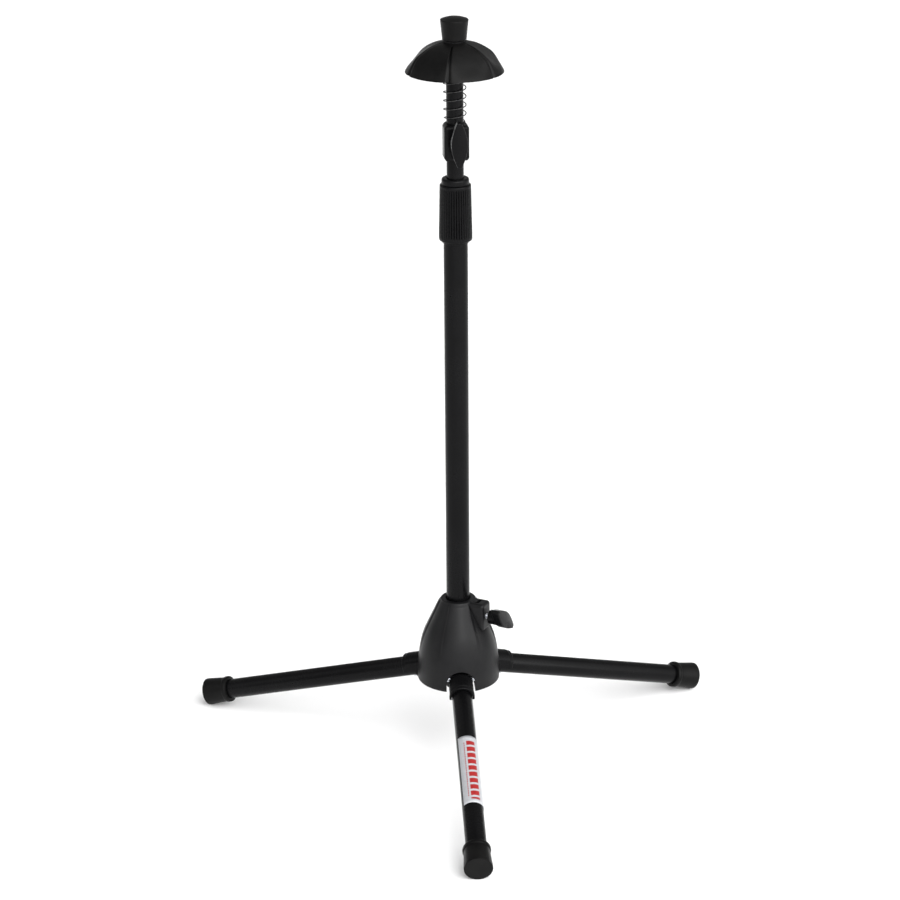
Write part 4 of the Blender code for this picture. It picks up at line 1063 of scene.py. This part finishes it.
floor_kit, floor_shader, node, join = finish_kit("studio_floor")
floor_shader.inputs["Roughness"].default_value = 0.9
floor_shader.inputs["Specular IOR Level"].default_value = 0.1
where = node("TexCoord")
mottle = node("TexNoise", {"Scale": 3.0, "Detail": 2.0})
join(where, "Object", mottle, "Vector")
paint = node("Mix", data_type="RGBA")
paint.inputs[6].default_value = (0.93, 0.93, 0.93, 1)
paint.inputs[7].default_value = (0.95, 0.95, 0.95, 1)
join(mottle, "Fac", paint, 0)
join(paint, 2, floor_shader, "Base Color")
corners = np.array([(-1, -1), (1, -1), (1, 1), (-1, 1)], float) * FLOOR_HALF
floor_mesh = bpy.data.meshes.new("studio_floor")
floor_mesh.from_pydata([(x, y, -FLOOR_DROP) for x, y in corners], [], [(0, 1, 2, 3)])
floor_mesh.materials.append(floor_kit)
floor = bpy.data.objects.new("studio_floor", floor_mesh)
bpy.context.scene.collection.objects.link(floor)

world = bpy.data.worlds.new("studio_surround")
world.use_nodes = True
bpy.context.scene.world = world
sky = world.node_tree
toward = sky.nodes.new("ShaderNodeVectorMath")
toward.operation = "DOT_PRODUCT"
toward.inputs[1].default_value = GLOW_FROM
sky.links.new(sky.nodes.new("ShaderNodeTexCoord").outputs["Generated"], toward.inputs[0])
glow = sky.nodes.new("ShaderNodeMapRange")
for key, value in {"From Min": 0.25, "From Max": 1.0, "To Min": 0.36, "To Max": 3.2}.items():
    glow.inputs[key].default_value = value
sky.links.new(toward.outputs["Value"], glow.inputs["Value"])
sky.links.new(glow.outputs["Result"], sky.nodes["Background"].inputs["Strength"])
sky.nodes["Background"].inputs["Color"].default_value = (1.0, 1.0, 1.0, 1)


def panel(name, at, size, power, target):
    """Soft box: an area light that faces a point."""
    light = bpy.data.lights.new(name, "AREA")
    light.shape = "RECTANGLE"
    light.size, light.size_y = size
    light.energy = power
    obj = bpy.data.objects.new(name, light)
    back = np.array(at, float) - np.array(target, float)
    z_axis = back / np.linalg.norm(back)
    x_axis = np.cross(UP, z_axis)
    x_axis /= np.linalg.norm(x_axis)
    y_axis = np.cross(z_axis, x_axis)
    turn = Matrix(np.array([x_axis, y_axis, z_axis]).T.tolist()).to_4x4()
    obj.matrix_world = Matrix.Translation(at) @ turn
    bpy.context.scene.collection.objects.link(obj)
    return obj


stand_middle = (0.0, float(AXIS[1]), 0.36)
panel("left_panel", (-2.2, -0.2, 1.3), (1.0, 2.4), 5, stand_middle)
panel("right_panel", (1.9, -1.3, 1.5), (1.2, 2.4), 18, stand_middle)
panel("front_panel", (0.7, -3.0, 2.3), (1.4, 1.0), 40, stand_middle)


# ---- Camera --------------------------------------------------------------------------
# A long lens a little to the stand's left, looking down at it from standing height.

CAMERA_DISTANCE = 2.59852
CAMERA_HEIGHT = 1.29979
CAMERA_SWING = 0.06153
CAMERA_AIM = -0.00252
CAMERA_PITCH = 0.36574
CAMERA_ROLL = -0.00752

lens = bpy.data.cameras.new("studio_camera")
lens.lens = 120.218
lens.sensor_width = 36.0
camera = bpy.data.objects.new("studio_camera", lens)
bpy.context.scene.collection.objects.link(camera)
spot = AXIS + np.array([
    -CAMERA_DISTANCE * math.sin(CAMERA_SWING), -CAMERA_DISTANCE * math.cos(CAMERA_SWING), CAMERA_HEIGHT])
heading = CAMERA_SWING + CAMERA_AIM
turn = (
    Matrix.Rotation(-heading, 4, "Z") @ Matrix.Rotation(math.pi / 2 - CAMERA_PITCH, 4, "X")
    @ Matrix.Rotation(CAMERA_ROLL, 4, "Z"))
camera.matrix_world = Matrix.Translation(spot.tolist()) @ turn
bpy.context.scene.camera = camera
bpy.context.scene.view_settings.view_transform = "Standard"
